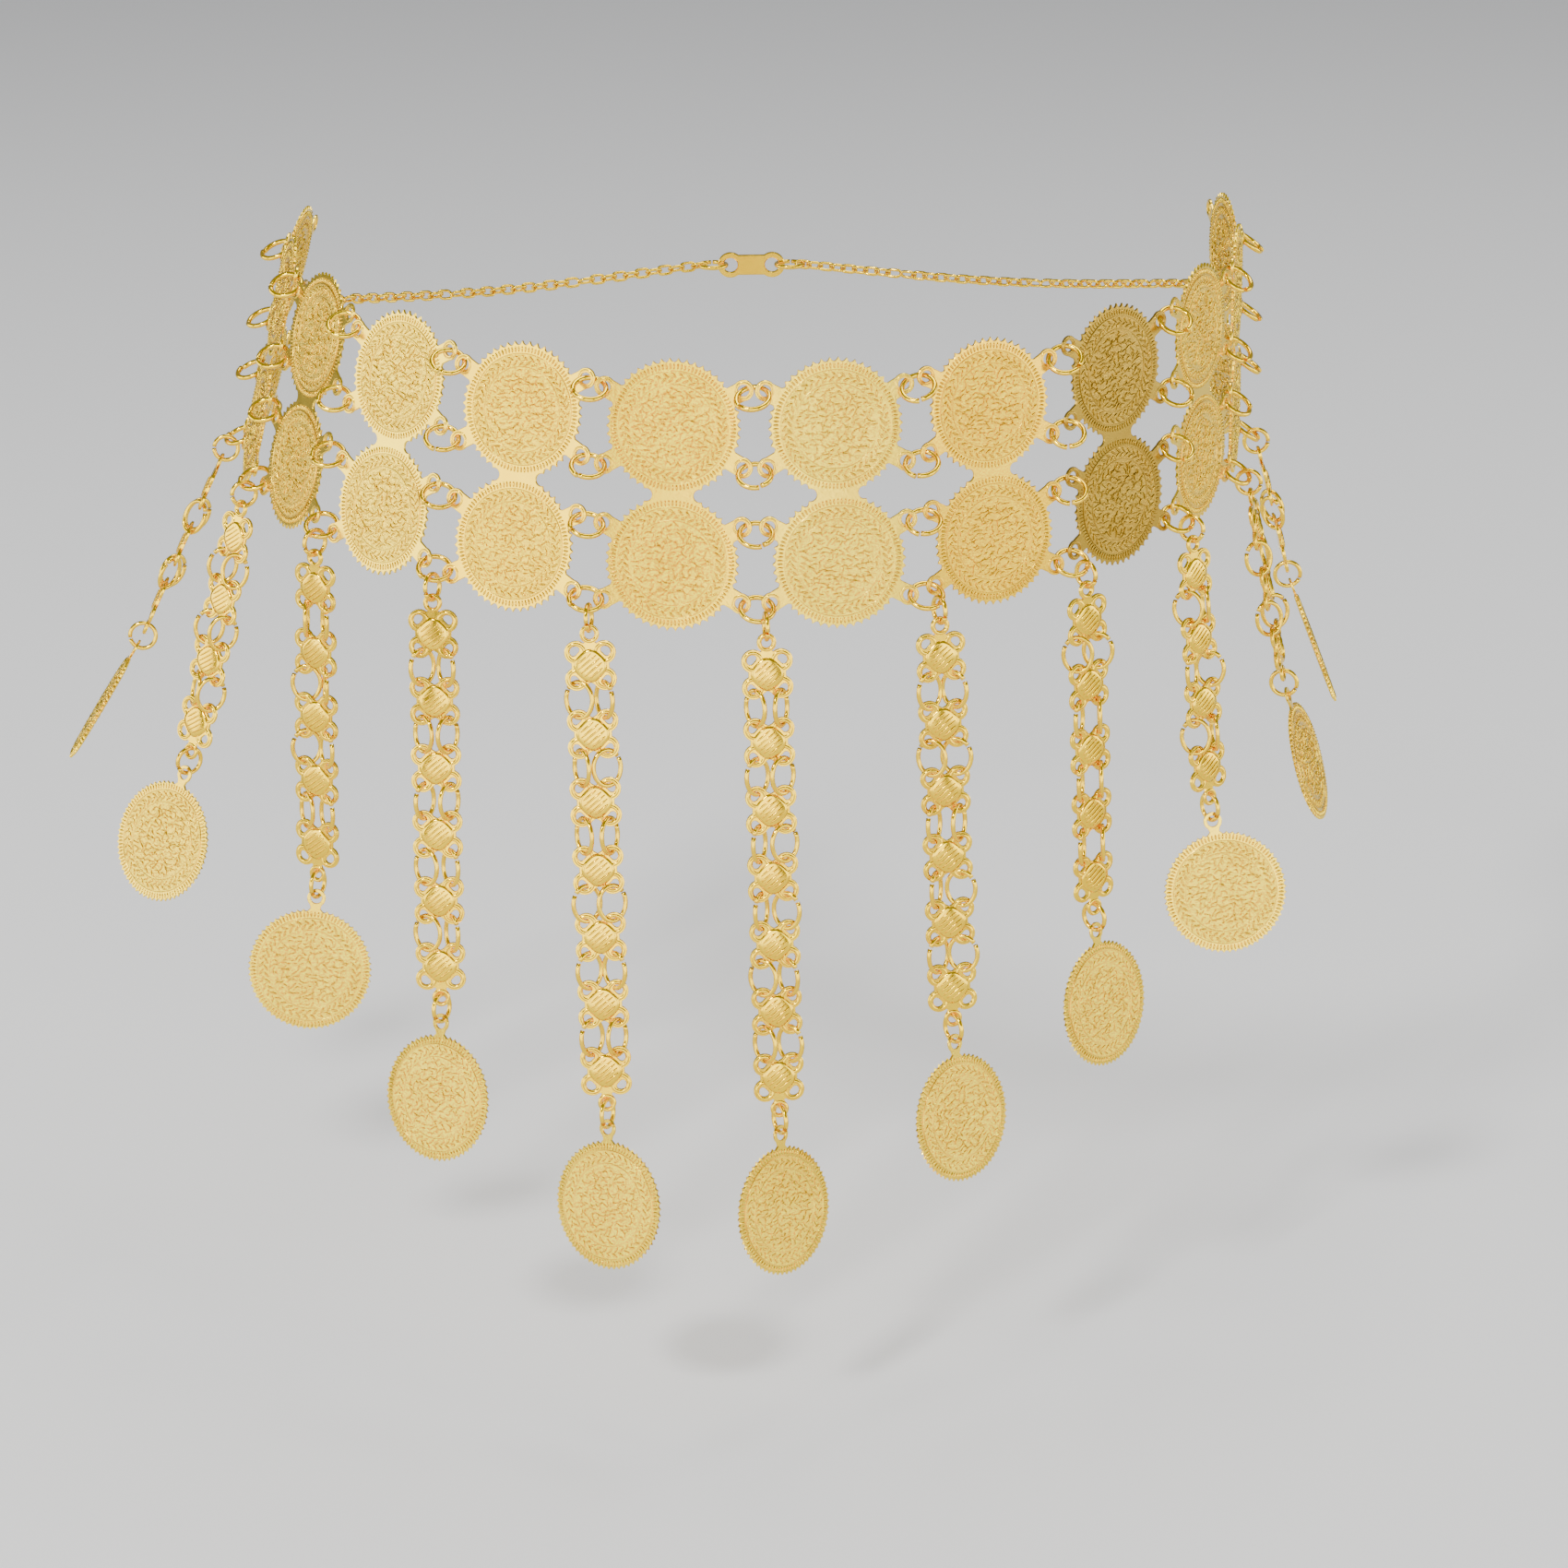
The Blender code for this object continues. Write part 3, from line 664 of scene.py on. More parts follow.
@dataclass
class Belt:
    """The belt's path round the hips and the places of its plates, as in the frame.

    Attributes:
        half_width: Half the ring's width, from side to side.
        half_depth: Half the ring's depth, from front to back.
        side_rise: How much higher the sides are than the front.
        slope_roll: Share of the ring's slope that a plate follows.
        flare_roll: How far a plate's roll follows its lean.
        pitch: Distance round the ring from plate to plate.
        per_side: Plates on each side of the front's middle.
        lean: How far the front plates' lower coins stand out, in degrees.
        lean_skew: How much more the left end's stand out, and less the right end's, in degrees.
        steps: Steps in which the ring's length is measured.
    """

    half_width: float = 157 * MM
    half_depth: float = 156 * MM
    side_rise: float = 12 * MM
    slope_roll: float = 0.25
    flare_roll: float = 0.15
    pitch: float = 48.4 * MM
    per_side: int = 6
    lean: float = 7.5
    lean_skew: float = 7.0
    steps: int = 2000

    def __post_init__(self) -> None:
        """Measures the arc length round the ring."""
        self.arc = [(0.0, 0.0)]
        length = 0.0
        last = Vector((0.0, -self.half_depth))
        for step in range(1, self.steps + 1):
            angle = math.tau * step / self.steps
            here = Vector((self.half_width * math.sin(angle), -self.half_depth * math.cos(angle)))
            length += (here - last).length
            self.arc.append((length, angle))
            last = here
        self.length = length

    def order(self) -> list[int]:
        """Returns the plates' numbers from the viewer's left to the right, with no zero."""
        return [*range(-self.per_side, 0), *range(1, self.per_side + 1)]

    def angle(self, distance: float) -> float:
        """Returns the ring's angle at an arc length."""
        distance %= self.length
        low, high = 0, len(self.arc) - 1
        while high - low > 1:
            middle = (low + high) // 2
            if self.arc[middle][0] <= distance:
                low = middle
            else:
                high = middle
        span = self.arc[high][0] - self.arc[low][0]
        share = (distance - self.arc[low][0]) / span
        return self.arc[low][1] + (self.arc[high][1] - self.arc[low][1]) * share

    def station(self, distance: float) -> tuple[Vector, Vector, float, Vector]:
        """Returns the point, level tangent, slope and outward normal at an arc length."""
        angle = self.angle(distance)
        x = self.half_width * math.sin(angle)
        y = -self.half_depth * math.cos(angle)
        tangent = Vector((self.half_width * math.cos(angle), self.half_depth * math.sin(angle), 0.0))
        tangent.normalize()
        normal = Vector((tangent.y, -tangent.x, 0.0))
        point = Vector((x, y, self.side_rise * (x / self.half_width) ** 2))
        slope = 2 * self.side_rise * x / self.half_width**2 * tangent.x
        return point, tangent, slope, normal

    def plate(self, number: int) -> Place:
        """Returns the place of a plate, with its origin at the middle of the neck."""
        distance = (abs(number) - 0.5) * self.pitch * math.copysign(1.0, number)
        point, tangent, slope, normal = self.station(distance)
        lean = math.radians(self.lean - self.lean_skew * normal.x)
        down = -UP * math.cos(lean) + normal * math.sin(lean)
        turned = math.atan2(normal.x, -normal.y)
        roll = slope * self.slope_roll - turned * math.sin(lean) * self.flare_roll
        return Place(point, tangent * math.cos(roll) - down * math.sin(roll), down)


def plate_name(number: int) -> str:
    """Returns the frame's name of a plate."""
    return f"plate_{'left' if number < 0 else 'right'}_{abs(number)}"


def coin_finishes(name: str, tone: Tone) -> list[bpy.types.Material]:
    """Returns a coin's gold and the gold of its fields, which has a deeper curled grain."""
    plain = GoldFinish(name, tone)
    grained = GoldFinish(name + "_field", tone, grain=0.00018, grain_size=0.0011, swirl=2.6)
    return [plain.material(), grained.material()]


@dataclass
class CoinPlate:
    """A double coin: two toothed coins, a smooth neck with round undercuts, and eight ears.

    Attributes:
        ornament: The relief of its faces.
        radius: A coin's radius over its teeth.
        tooth_depth: How deep the valleys between the teeth are cut.
        teeth: Teeth on a whole turn.
        spacing: Distance between the two coins' centres.
        thickness: The sheet's thickness.
        edge: Width and height of the edge break.
        neck_half: Half the neck's width.
        notch: Radius of the round undercut beside the neck.
        undercut_reach: How far the undercut runs round to each side, in degrees.
        neck_gap: Turn between the undercut and the first tooth, in degrees.
        ear_x: Distance of an ear's centre from the coin's upright axis.
        ear_y: Distance of an ear's centre from the coin's level axis.
        ear_radius: An ear's outer radius.
        ear_hole: Radius of its hole.
        ear_bead: Wire radius of the raised bead round it.
        ear_reach: How far an ear's round end runs to each side, in degrees.
        fillet: Half the width of an ear's root, in degrees of the coin.
        root_share: Where the flare of the root bends, as a share of that half.
        root_rise: How far it has risen there.
    """

    ornament: Ornament
    radius: float = 20.3 * MM
    tooth_depth: float = 1.3 * MM
    teeth: int = 50
    spacing: float = 40 * MM
    thickness: float = 0.8 * MM
    edge: float = 0.14 * MM
    neck_half: float = 6.15 * MM
    notch: float = 1.9 * MM
    undercut_reach: float = 105.0
    neck_gap: float = 1.5
    ear_x: float = 20.5 * MM
    ear_y: float = 11.3 * MM
    ear_radius: float = 3.1 * MM
    ear_hole: float = 1.7 * MM
    ear_bead: float = 0.32 * MM
    ear_reach: float = 112.0
    fillet: float = 10.5
    root_share: float = 0.80
    root_rise: float = 0.55 * MM

    def ears(self) -> list[Point]:
        """Returns the right-hand ears' centres, from top to bottom."""
        coins = (-self.spacing / 2, self.spacing / 2)
        return [(self.ear_x, coin + side * self.ear_y) for coin in coins for side in (-1, 1)]

    def ear_edge(self, coin: Point, direction: float) -> list[Point]:
        """Returns the flared root and round end of one ear."""
        eye = polar(coin, math.hypot(self.ear_x, self.ear_y), direction)
        valley = self.radius - self.tooth_depth
        start = polar(coin, valley, direction - self.fillet)
        end = polar(coin, valley, direction + self.fillet)
        bend = self.fillet * self.root_share
        root = polar(coin, valley + self.root_rise, direction - bend)
        close = polar(coin, valley + self.root_rise, direction + bend)
        round_end = arc(eye, self.ear_radius, direction - self.ear_reach, direction + self.ear_reach, 17)
        return [start, root, *round_end, close, end]

    def outline(self) -> list[Point]:
        """Returns the whole edge, the lower coin first and then the upper one."""
        ear = math.degrees(math.atan2(self.ear_y, self.ear_x))
        neck = 90 - math.degrees(math.asin((self.neck_half + self.notch) / self.radius)) - self.neck_gap
        coin = (0.0, self.spacing / 2)

        def teeth(start: float, end: float) -> list[Point]:
            """Returns one stretch of teeth on the lower coin."""
            return toothed_arc(coin, self.radius, self.tooth_depth, self.teeth, start, end)[1:-1]

        gap = self.fillet
        half = [
            *teeth(-neck, -ear - gap),
            *self.ear_edge(coin, -ear),
            *teeth(gap - ear, ear - gap),
            *self.ear_edge(coin, ear),
            *teeth(ear + gap, 180 - ear - gap),
            *self.ear_edge(coin, 180 - ear),
            *teeth(180 - ear + gap, 180 + ear - gap),
            *self.ear_edge(coin, 180 + ear),
            *teeth(180 + ear + gap, 180 + neck),
            *self.undercut(-1.0),
        ]
        return half + [(-u, -v) for u, v in half]

    def undercut(self, side: float) -> list[Point]:
        """Returns the round notch beside the neck, from the lower coin to the upper one."""
        center = (side * (self.neck_half + self.notch), 0.0)
        points = arc(center, self.notch, self.undercut_reach, -self.undercut_reach, 13)
        return [(center[0] - side * (u - center[0]), v) for u, v in points]

    def mesh(self, finishes: list[bpy.types.Material], reliefs: list[bpy.types.Mesh]) -> bpy.types.Mesh:
        """Builds the stamping with relief on both faces, drawn about the neck's middle.

        Args:
            finishes: The plate's gold and its grained fields' gold.
            reliefs: One relief for the upper coin and one for the lower coin.

        Returns:
            One mesh in x = u, y = -v and z = w.
        """
        holes = [circle((side * u, v), self.ear_hole, 20) for u, v in self.ears() for side in (-1, 1)]
        shape = stamped_sheet([self.outline(), *holes], self.thickness, self.edge)
        bead_radius = (self.ear_radius + self.ear_hole) / 2
        bead_height = self.thickness / 2 - self.ear_bead / 3
        for u, v in self.ears():
            for side in (-1, 1):
                for face in (-1, 1):
                    ring = circle((side * u, v), bead_radius, 24)
                    path = [Vector((x, -y, face * bead_height)) for x, y in ring]
                    add_solid(shape, wire_loop(path, self.ear_bead, sides=6))
        back = Matrix.Rotation(math.pi, 4, "Y")
        for relief, height in zip(reliefs, (self.spacing / 2, -self.spacing / 2)):
            place = Matrix.Translation((0.0, height, 0.0))
            add_mesh(shape, relief, place)
            add_mesh(shape, relief, place @ back)
        mesh = mesh_from("coin_plate", shape)
        for finish in finishes:
            mesh.materials.append(finish)
        return mesh


@dataclass
class JumpRings:
    """The split wire rings between neighbouring plates.

    Attributes:
        wire: The wire's radius.
        radius: Radius of a ring's centre line.
        tilt: How far a ring is tipped outwards from the plates' face, in degrees.
        even_gap: Distance between two ears at which the ring's width is right as it is.
        play: How far a ring may shift in its ears.
        split: How wide a ring's joint stands open, in degrees.
        spring: How far the wire's two ends are sprung apart sideways.
        segments: Points on a ring's centre line.
    """

    wire: float = 0.82 * MM
    radius: float = 4.9 * MM
    tilt: float = 54.0
    even_gap: float = 7.3 * MM
    play: float = 0.4 * MM
    split: float = 7.0
    spring: float = 0.5 * MM
    segments: int = 30

    def between(self, left_eye: Vector, right_eye: Vector, left: Place, right: Place, turn: float) -> Solid:
        """Returns the ring through two ears.

        Args:
            left_eye: Centre of the left-hand plate's ear.
            right_eye: Centre of the right-hand plate's ear.
            left: Place of the left-hand plate.
            right: Place of the right-hand plate.
            turn: Where the ring's joint lies, in degrees round it.

        Returns:
            The open ring, its ends a hair apart.
        """
        along = right_eye - left_eye
        down = (left.v + right.v).normalized()
        out = (left.w + right.w).normalized()
        tilt = math.radians(self.tilt)
        place = Place((left_eye + right_eye) / 2, along, down * math.cos(tilt) + out * math.sin(tilt))
        shift = min(max((self.even_gap - along.length) / 2, -self.play), self.play)
        half = along.length / 2 + shift
        reach = math.sqrt(max(self.radius**2 - half**2, 0.0))
        opening = self.split / 2
        flat = arc((0.0, reach), self.radius, turn + opening, turn + 360 - opening, self.segments)
        path = []
        for step, (u, v) in enumerate(flat):
            lift = (step / (len(flat) - 1) - 0.5) * self.spring
            path.append(place.at(u, v, lift))
        return wire_loop(path, self.wire, closed=False)


@dataclass
class FlowerLink:
    """A quatrefoil link: four ringed lobes round a domed disc with slanted stripes.

    Attributes:
        repeater: Copies a ridge onto the stripes' places.
        thickness: The sheet's thickness.
        edge: Width and height of the edge break.
        lobe_x: Distance of a lobe's centre from the upright axis.
        lobe_y: Distance of a lobe's centre from the level axis.
        lobe: A lobe's outer radius.
        lobe_hole: Radius of its opening.
        opening_shift: How far the opening's centre lies outside the lobe's.
        opening_cut: How far the disc's edge cuts into the opening, as a share of its radius.
        disc: The disc's mean radius.
        disc_corner: How much further its four corners reach, as a share.
        step: How high the disc's edge stands over the sheet.
        dome: How much higher its middle is.
        dome_power: How late the dome falls off towards its edge.
        disc_rings: Rings of points from the disc's middle to its foot.
        disc_sides: Corners of the disc.
        stripes: Stripes on the disc.
        stripe_turn: How far the stripes slant, in degrees.
        stripe_field: Half the width of the striped field, as a share of the disc.
        stripe_reach: How far the stripes reach outwards, as a share of the disc.
        stripe_width: A stripe's half width.
        stripe_height: Its height.
        stripe_sink: How deep it is sunk in the dome.
        bead: Wire radius of the raised bead round each lobe.
        loop: Outer radius of the loop above or below an end link.
        loop_hole: Radius of its hole.
        end_loop_trim: How much smaller the loop below is.
        top_loop: Distance of the upper loop's centre from the link's middle.
        end_loop: Distance of the lower loop's centre from the link's middle.
        throat: Half the width of the neck between a loop and its lobes.
        throat_level: How far beyond the lobes' centres the neck starts, in lobe radii.
        waist_level: How far beyond them the edge lies where there is no loop, in lobe radii.
    """

    repeater: Repeater
    thickness: float = 0.9 * MM
    edge: float = 0.16 * MM
    lobe_x: float = 4.15 * MM
    lobe_y: float = 3.95 * MM
    lobe: float = 3.5 * MM
    lobe_hole: float = 1.6 * MM
    opening_shift: float = 0.35 * MM
    opening_cut: float = 0.52
    disc: float = 4.75 * MM
    disc_corner: float = 0.05
    step: float = 0.30 * MM
    dome: float = 0.30 * MM
    dome_power: float = 3.0
    disc_rings: int = 7
    disc_sides: int = 32
    stripes: int = 5
    stripe_turn: float = 38.0
    stripe_field: float = 0.72
    stripe_reach: float = 0.80
    stripe_width: float = 0.42 * MM
    stripe_height: float = 0.62 * MM
    stripe_sink: float = 0.12 * MM
    bead: float = 0.60 * MM
    loop: float = 2.9 * MM
    loop_hole: float = 1.5 * MM
    end_loop_trim: float = 0.2 * MM
    top_loop: float = 9.4 * MM
    end_loop: float = 9.8 * MM
    throat: float = 1.5 * MM
    throat_level: float = 0.86
    waist_level: float = 0.30

    def lobes(self) -> list[Point]:
        """Returns the four lobes' centres in order round the link."""
        return [
            (self.lobe_x, -self.lobe_y),
            (self.lobe_x, self.lobe_y),
            (-self.lobe_x, self.lobe_y),
            (-self.lobe_x, -self.lobe_y),
        ]

    def outline(self, top: bool, end: bool) -> list[Point]:
        """Returns the edge of a link, with a loop above or below it where asked."""
        right = []
        throat = self.lobe_y + self.lobe * self.throat_level
        waist = self.lobe_y + self.lobe * self.waist_level
        if top:
            right.extend(arc((0.0, -self.top_loop), self.loop, -90, 48, 9))
            right.append((self.throat, -throat))
        else:
            right.append((0.0, -waist))
        # A lobe runs on to the middle unless a loop's neck covers it
        right.extend(arc((self.lobe_x, -self.lobe_y), self.lobe, -128 if top else -152, 66, 14))
        right.extend(arc((self.lobe_x, self.lobe_y), self.lobe, -66, 128 if end else 152, 14))
        if end:
            right.append((self.throat, throat))
            right.extend(arc((0.0, self.end_loop), self.loop - self.end_loop_trim, -48, 90, 9))
        else:
            right.append((0.0, waist))
        return right + [(-u, v) for u, v in reversed(right) if u > 1e-6]

    def lobe_opening(self, lobe: Point) -> list[Point]:
        """Returns the opening of a lobe: round outside, and cut in by the disc's edge inside."""
        away = math.degrees(math.atan2(lobe[1], lobe[0]))
        center = polar(lobe, self.opening_shift, away)
        points = []
        for turn in range(0, 360, 20):
            inward = max(0.0, -math.cos(math.radians(turn)))
            radius = self.lobe_hole * (1.0 - self.opening_cut * inward**1.5)
            points.append(polar(center, radius, away + turn))
        return points

    def crown(self, share: float) -> float:
        """Returns the disc's height at a share of its radius."""
        return self.thickness / 2 + self.step + self.dome * (1 - share**self.dome_power)

    def domed_disc(self) -> Solid:
        """Returns the raised disc in the middle as a cap that stands on the sheet."""
        rings, sides = self.disc_rings, self.disc_sides
        points = [Vector((0.0, 0.0, self.crown(0.0)))]
        for ring in range(1, rings + 1):
            share = min(ring / (rings - 1), 1.0)
            height = self.crown(share) if ring < rings else 0.0
            for side in range(sides):
                turn = 360.0 * side / sides
                radius = self.disc * share * (1 + self.disc_corner * math.cos(math.radians(4 * turn)))
                points.append(Vector((*polar((0.0, 0.0), radius, turn), height)))
        faces = [(0, 1 + k, 1 + (k + 1) % sides) for k in range(sides)]
        for ring in range(rings - 1):
            low = 1 + ring * sides
            for k in range(sides):
                beside = (k + 1) % sides
                faces.append((low + k, low + sides + k, low + sides + beside, low + beside))
        faces.append(tuple(reversed(range(1 + (rings - 1) * sides, 1 + rings * sides))))
        return points, faces

    def stripe_places(self) -> list[tuple[Matrix, Vector]]:
        """Returns the slanted ridges on the disc's dome."""
        made = []
        slant = Matrix.Rotation(math.radians(self.stripe_turn), 4, "Z")
        reach = self.disc * self.stripe_field
        spacing = 2 * reach / self.stripes
        for stripe in range(self.stripes):
            across = (stripe + 0.5) * spacing - reach
            half = math.sqrt((self.disc * self.stripe_reach) ** 2 - across**2)
            height = self.crown(abs(across) / self.disc) - self.stripe_sink
            size = Vector((half, self.stripe_width, self.stripe_height))
            made.append((slant @ Matrix.Translation((0.0, across, height)), size))
        return made

    def mesh(
        self, top: bool, end: bool, ridge: bpy.types.Mesh, finish: bpy.types.Material
    ) -> bpy.types.Mesh:
        """Builds one link, drawn about its middle.

        Args:
            top: Whether it has a loop above.
            end: Whether it has a loop below.
            ridge: The shape of a stripe.
            finish: The link's gold.

        Returns:
            One mesh in x = u, y = -v and z = w.
        """
        ends = []
        if top:
            ends.append((0.0, -self.top_loop))
        if end:
            ends.append((0.0, self.end_loop))
        openings = [self.lobe_opening(lobe) for lobe in self.lobes()]
        openings.extend(circle(center, self.loop_hole, 16) for center in ends)
        shape = stamped_sheet([self.outline(top, end), *openings], self.thickness, self.edge)
        beads = [(lobe, (self.lobe + self.lobe_hole) / 2) for lobe in self.lobes()]
        beads.extend((center, (self.loop + self.loop_hole) / 2) for center in ends)
        height = (self.thickness - self.bead) / 2
        for center, radius in beads:
            path = [Vector((u, -v, height)) for u, v in circle(center, radius, 24)]
            add_solid(shape, wire_loop(path, self.bead))
        add_solid(shape, self.domed_disc())
        shape.from_mesh(self.repeater.copies("disc_stripes", ridge, self.stripe_places(), finish))
        bmesh.ops.recalc_face_normals(shape, faces=shape.faces)
        mesh = mesh_from("flower_link", shape)
        mesh.materials.append(finish)
        return mesh


@dataclass
class HangingDrop:
    """One drop: a top ring, flower links joined by ring pairs, an end ring and a toothed coin.

    Attributes:
        number: The drop's number from the viewer's left.
        link: The flower link.
        ornament: The relief of the coin.
        pitch: Distance from link to link.
        wire: The rings' wire radius.
        top_ring: Radius of the ring above the links.
        end_ring: Radius of the ring below them.
        top_joint: Where the upper ring's joint lies, in degrees.
        end_joint: Where the lower ring's joint lies, in degrees.
        ring_split: How wide a ring's joint stands open to each side, in degrees.
        pair_radius: Radius of a ring in a pair.
        pair_x: How far it lies from the drop's middle.
        pair_offset: How far it lies in front of or behind the links.
        pair_tall: How much taller than wide it is.
        pair_joint: Where its joint lies above the level, in degrees.
        pair_turns: Turns about the drop that such a ring may have, in degrees.
        twists: How far each drop's links are twisted about it, in degrees.
        first_twist: Share of that twist which the first link has.
        grip: How far the centre of a loop's hole lies beyond the centre line of its ring.
        play: Clearance of the rings in the frame.
        frame_wire: Wire radius of the rings in the frame.
        coin_radius: The coin's radius over its teeth.
        coin_teeth: Teeth on a whole turn.
        coin_tooth_depth: How deep the valleys between them are cut.
        coin_height: Distance from the loop's centre to the coin's.
        coin_loop: Outer radius of the coin's loop.
        coin_loop_hole: Radius of its hole.
        coin_lean: How far the coin's lower edge stands out from the drop, in degrees.
        stem_half: Half the width of the gap in the teeth under the loop.
        throat: Half the width of the neck under the loop.
        throat_level: How far below the loop's centre the neck is narrowest.
        loop_gap: Turn from straight down to where the loop meets the neck, in degrees.
        thickness: The coin's thickness.
        edge: Width and height of its edge break.
        seed: Seed of the turns of the paired rings.
    """

    number: int
    link: FlowerLink
    ornament: Ornament
    pitch: float = 20.4 * MM
    wire: float = 0.72 * MM
    top_ring: float = 3.9 * MM
    end_ring: float = 4.2 * MM
    top_joint: float = 20.0
    end_joint: float = 35.0
    ring_split: float = 4.0
    pair_radius: float = 4.35 * MM
    pair_x: float = 3.75 * MM
    pair_offset: float = 0.35 * MM
    pair_tall: float = 1.24
    pair_joint: float = 35.0
    pair_turns: tuple[float, ...] = (58.0, 44.0, 24.0, 52.0, 36.0)
    twists: dict[int, float] = field(default_factory=lambda: {
        2: 30.0, 3: 24.0, 4: 26.0, 5: 12.0, 7: -14.0, 8: -8.0, 9: -20.0,
    })
    first_twist: float = 0.7
    grip: float = 0.9 * MM
    play: float = 0.5 * MM
    frame_wire: float = 0.6 * MM
    coin_radius: float = 19.5 * MM
    coin_teeth: int = 64
    coin_tooth_depth: float = 0.80 * MM
    coin_height: float = 23.0 * MM
    coin_loop: float = 2.9 * MM
    coin_loop_hole: float = 1.75 * MM
    coin_lean: float = 7.0
    stem_half: float = 2.2 * MM
    throat: float = 1.5 * MM
    throat_level: float = 3.4 * MM
    loop_gap: float = 40.0
    thickness: float = 0.8 * MM
    edge: float = 0.14 * MM
    seed: int = 40

    def __post_init__(self) -> None:
        """Reads the drop's place from the frame's two joints."""
        joints = {joint["name"]: joint for joint in frame["joints"]}
        swing = joints[f"drop_{self.number:02d}_swing"]
        dangle = joints[f"coin_{self.number:02d}_swing"]
        pivot = Vector(swing["pos_m"])
        end = Vector(dangle["pos_m"])
        self.place = Place(pivot, -Vector(swing["axis"]), end - pivot)
        self.end_distance = (end - pivot).length
        self.top_center = self.top_ring - 2 * self.frame_wire - self.play
        self.first = self.top_center + self.top_ring + self.grip + self.link.top_loop
        last = self.end_distance - self.end_ring + self.grip - self.link.end_loop
        self.links = round((last - self.first) / self.pitch) + 1
        across = -Vector(dangle["axis"])
        half_turn = math.atan2(-across.dot(self.place.w), across.dot(self.place.u))
        self.end_across = Matrix.Rotation(half_turn, 3, -self.place.v) @ self.place.w
        tilt = math.radians(self.coin_lean)
        down = self.place.v * math.cos(tilt) + self.place.w * math.sin(tilt)
        along = Matrix.Rotation(2 * half_turn, 3, -down) @ self.place.u
        reach = self.end_ring + self.coin_loop_hole * math.cos(math.pi / 6) - self.frame_wire - self.play
        self.coin_place = Place(end + down * reach, along, down)

    def ring(self, place: Place, radius: float, joint: float, tall: float = 1.0) -> Solid:
        """Returns a split wire ring in the plane of a place's u and v axes, stretched along v."""
        round_path = arc((0.0, 0.0), radius, joint + self.ring_split, joint + 360 - self.ring_split, 26)
        return wire_loop([place.at(u, v * tall) for u, v in round_path], self.wire, closed=False)

    def link_place(self, step: float, twist_step: int) -> Place:
        """Returns the place of a link, or of the rings half a step below it.

        Args:
            step: Steps down the drop, from the first link.
            twist_step: The link whose twist it has.

        Returns:
            The place, twisted about the drop. The twist is less at the top and full from the third link on.
        """
        share = min(1.0, self.first_twist + (1.0 - self.first_twist) * twist_step / 2)
        twist = math.radians(self.twists.get(self.number, 0.0)) * share
        across = Matrix.Rotation(twist, 3, -self.place.v) @ self.place.u
        return Place(self.place.at(0.0, self.first + step * self.pitch), across, self.place.v)

    def pair(self, step: int, chance: random.Random) -> list[Solid]:
        """Returns the two rings that join a link to the next one."""
        made = []
        place = self.link_place(step + 0.5, step)
        for side in (-1, 1):
            turn = chance.choice(self.pair_turns) * chance.choice((-1, 1))
            across = Matrix.Rotation(math.radians(turn), 3, place.v) @ place.u
            center = place.at(side * self.pair_x, 0.0, side * self.pair_offset)
            joint = -self.pair_joint if side > 0 else 180.0 + self.pair_joint
            made.append(self.ring(Place(center, across, place.v), self.pair_radius, joint, self.pair_tall))
        return made

    def chain_mesh(self, patterns: dict[str, bpy.types.Mesh], finish: bpy.types.Material) -> bpy.types.Mesh:
        """Builds the links and rings of the drop.

        Args:
            patterns: The first, middle and last link.
            finish: The drop's gold.

        Returns:
            One mesh in world places.
        """
        chance = random.Random(self.seed + self.number)
        shape = bmesh.new()
        for step in range(self.links):
            kind = "first" if step == 0 else "last" if step == self.links - 1 else "middle"
            add_mesh(shape, patterns[kind], self.link_place(step, step).matrix())
            if step < self.links - 1:
                for solid in self.pair(step, chance):
                    add_solid(shape, solid)
        top = Place(self.place.at(0.0, self.top_center), self.place.w, self.place.v)
        end = Place(self.place.at(0.0, self.end_distance), self.end_across, self.place.v)
        add_solid(shape, self.ring(top, self.top_ring, self.top_joint))
        add_solid(shape, self.ring(end, self.end_ring, self.end_joint))
        mesh = mesh_from(f"drop_{self.number:02d}_links", shape)
        mesh.materials.append(finish)
        return mesh

    def coin_mesh(self, relief: bpy.types.Mesh, finishes: list[bpy.types.Material]) -> bpy.types.Mesh:
        """Builds the toothed coin with its loop.

        Args:
            relief: The relief of its faces.
            finishes: The coin's gold and its grained fields' gold.

        Returns:
            One mesh in world places.
        """
        coin = (0.0, self.coin_height)
        gap = math.degrees(math.asin(self.stem_half / self.coin_radius))
        edge = [
            *toothed_arc(coin, self.coin_radius, self.coin_tooth_depth, self.coin_teeth, gap - 90, 270 - gap),
            (-self.throat, self.throat_level),
            *arc((0.0, 0.0), self.coin_loop, 90 + self.loop_gap, 450 - self.loop_gap, 19),
            (self.throat, self.throat_level),
        ]
        hole = circle((0.0, 0.0), self.coin_loop_hole, 18)
        shape = stamped_sheet([edge, hole], self.thickness, self.edge)
        place = Matrix.Translation((0.0, -self.coin_height, 0.0))
        add_mesh(shape, relief, place)
        add_mesh(shape, relief, place @ Matrix.Rotation(math.pi, 4, "Y"))
        bmesh.ops.transform(shape, matrix=self.coin_place.matrix(), verts=shape.verts)
        mesh = mesh_from(f"pendant_{self.number:02d}_coin", shape)
        for finish in finishes:
            mesh.materials.append(finish)
        return mesh

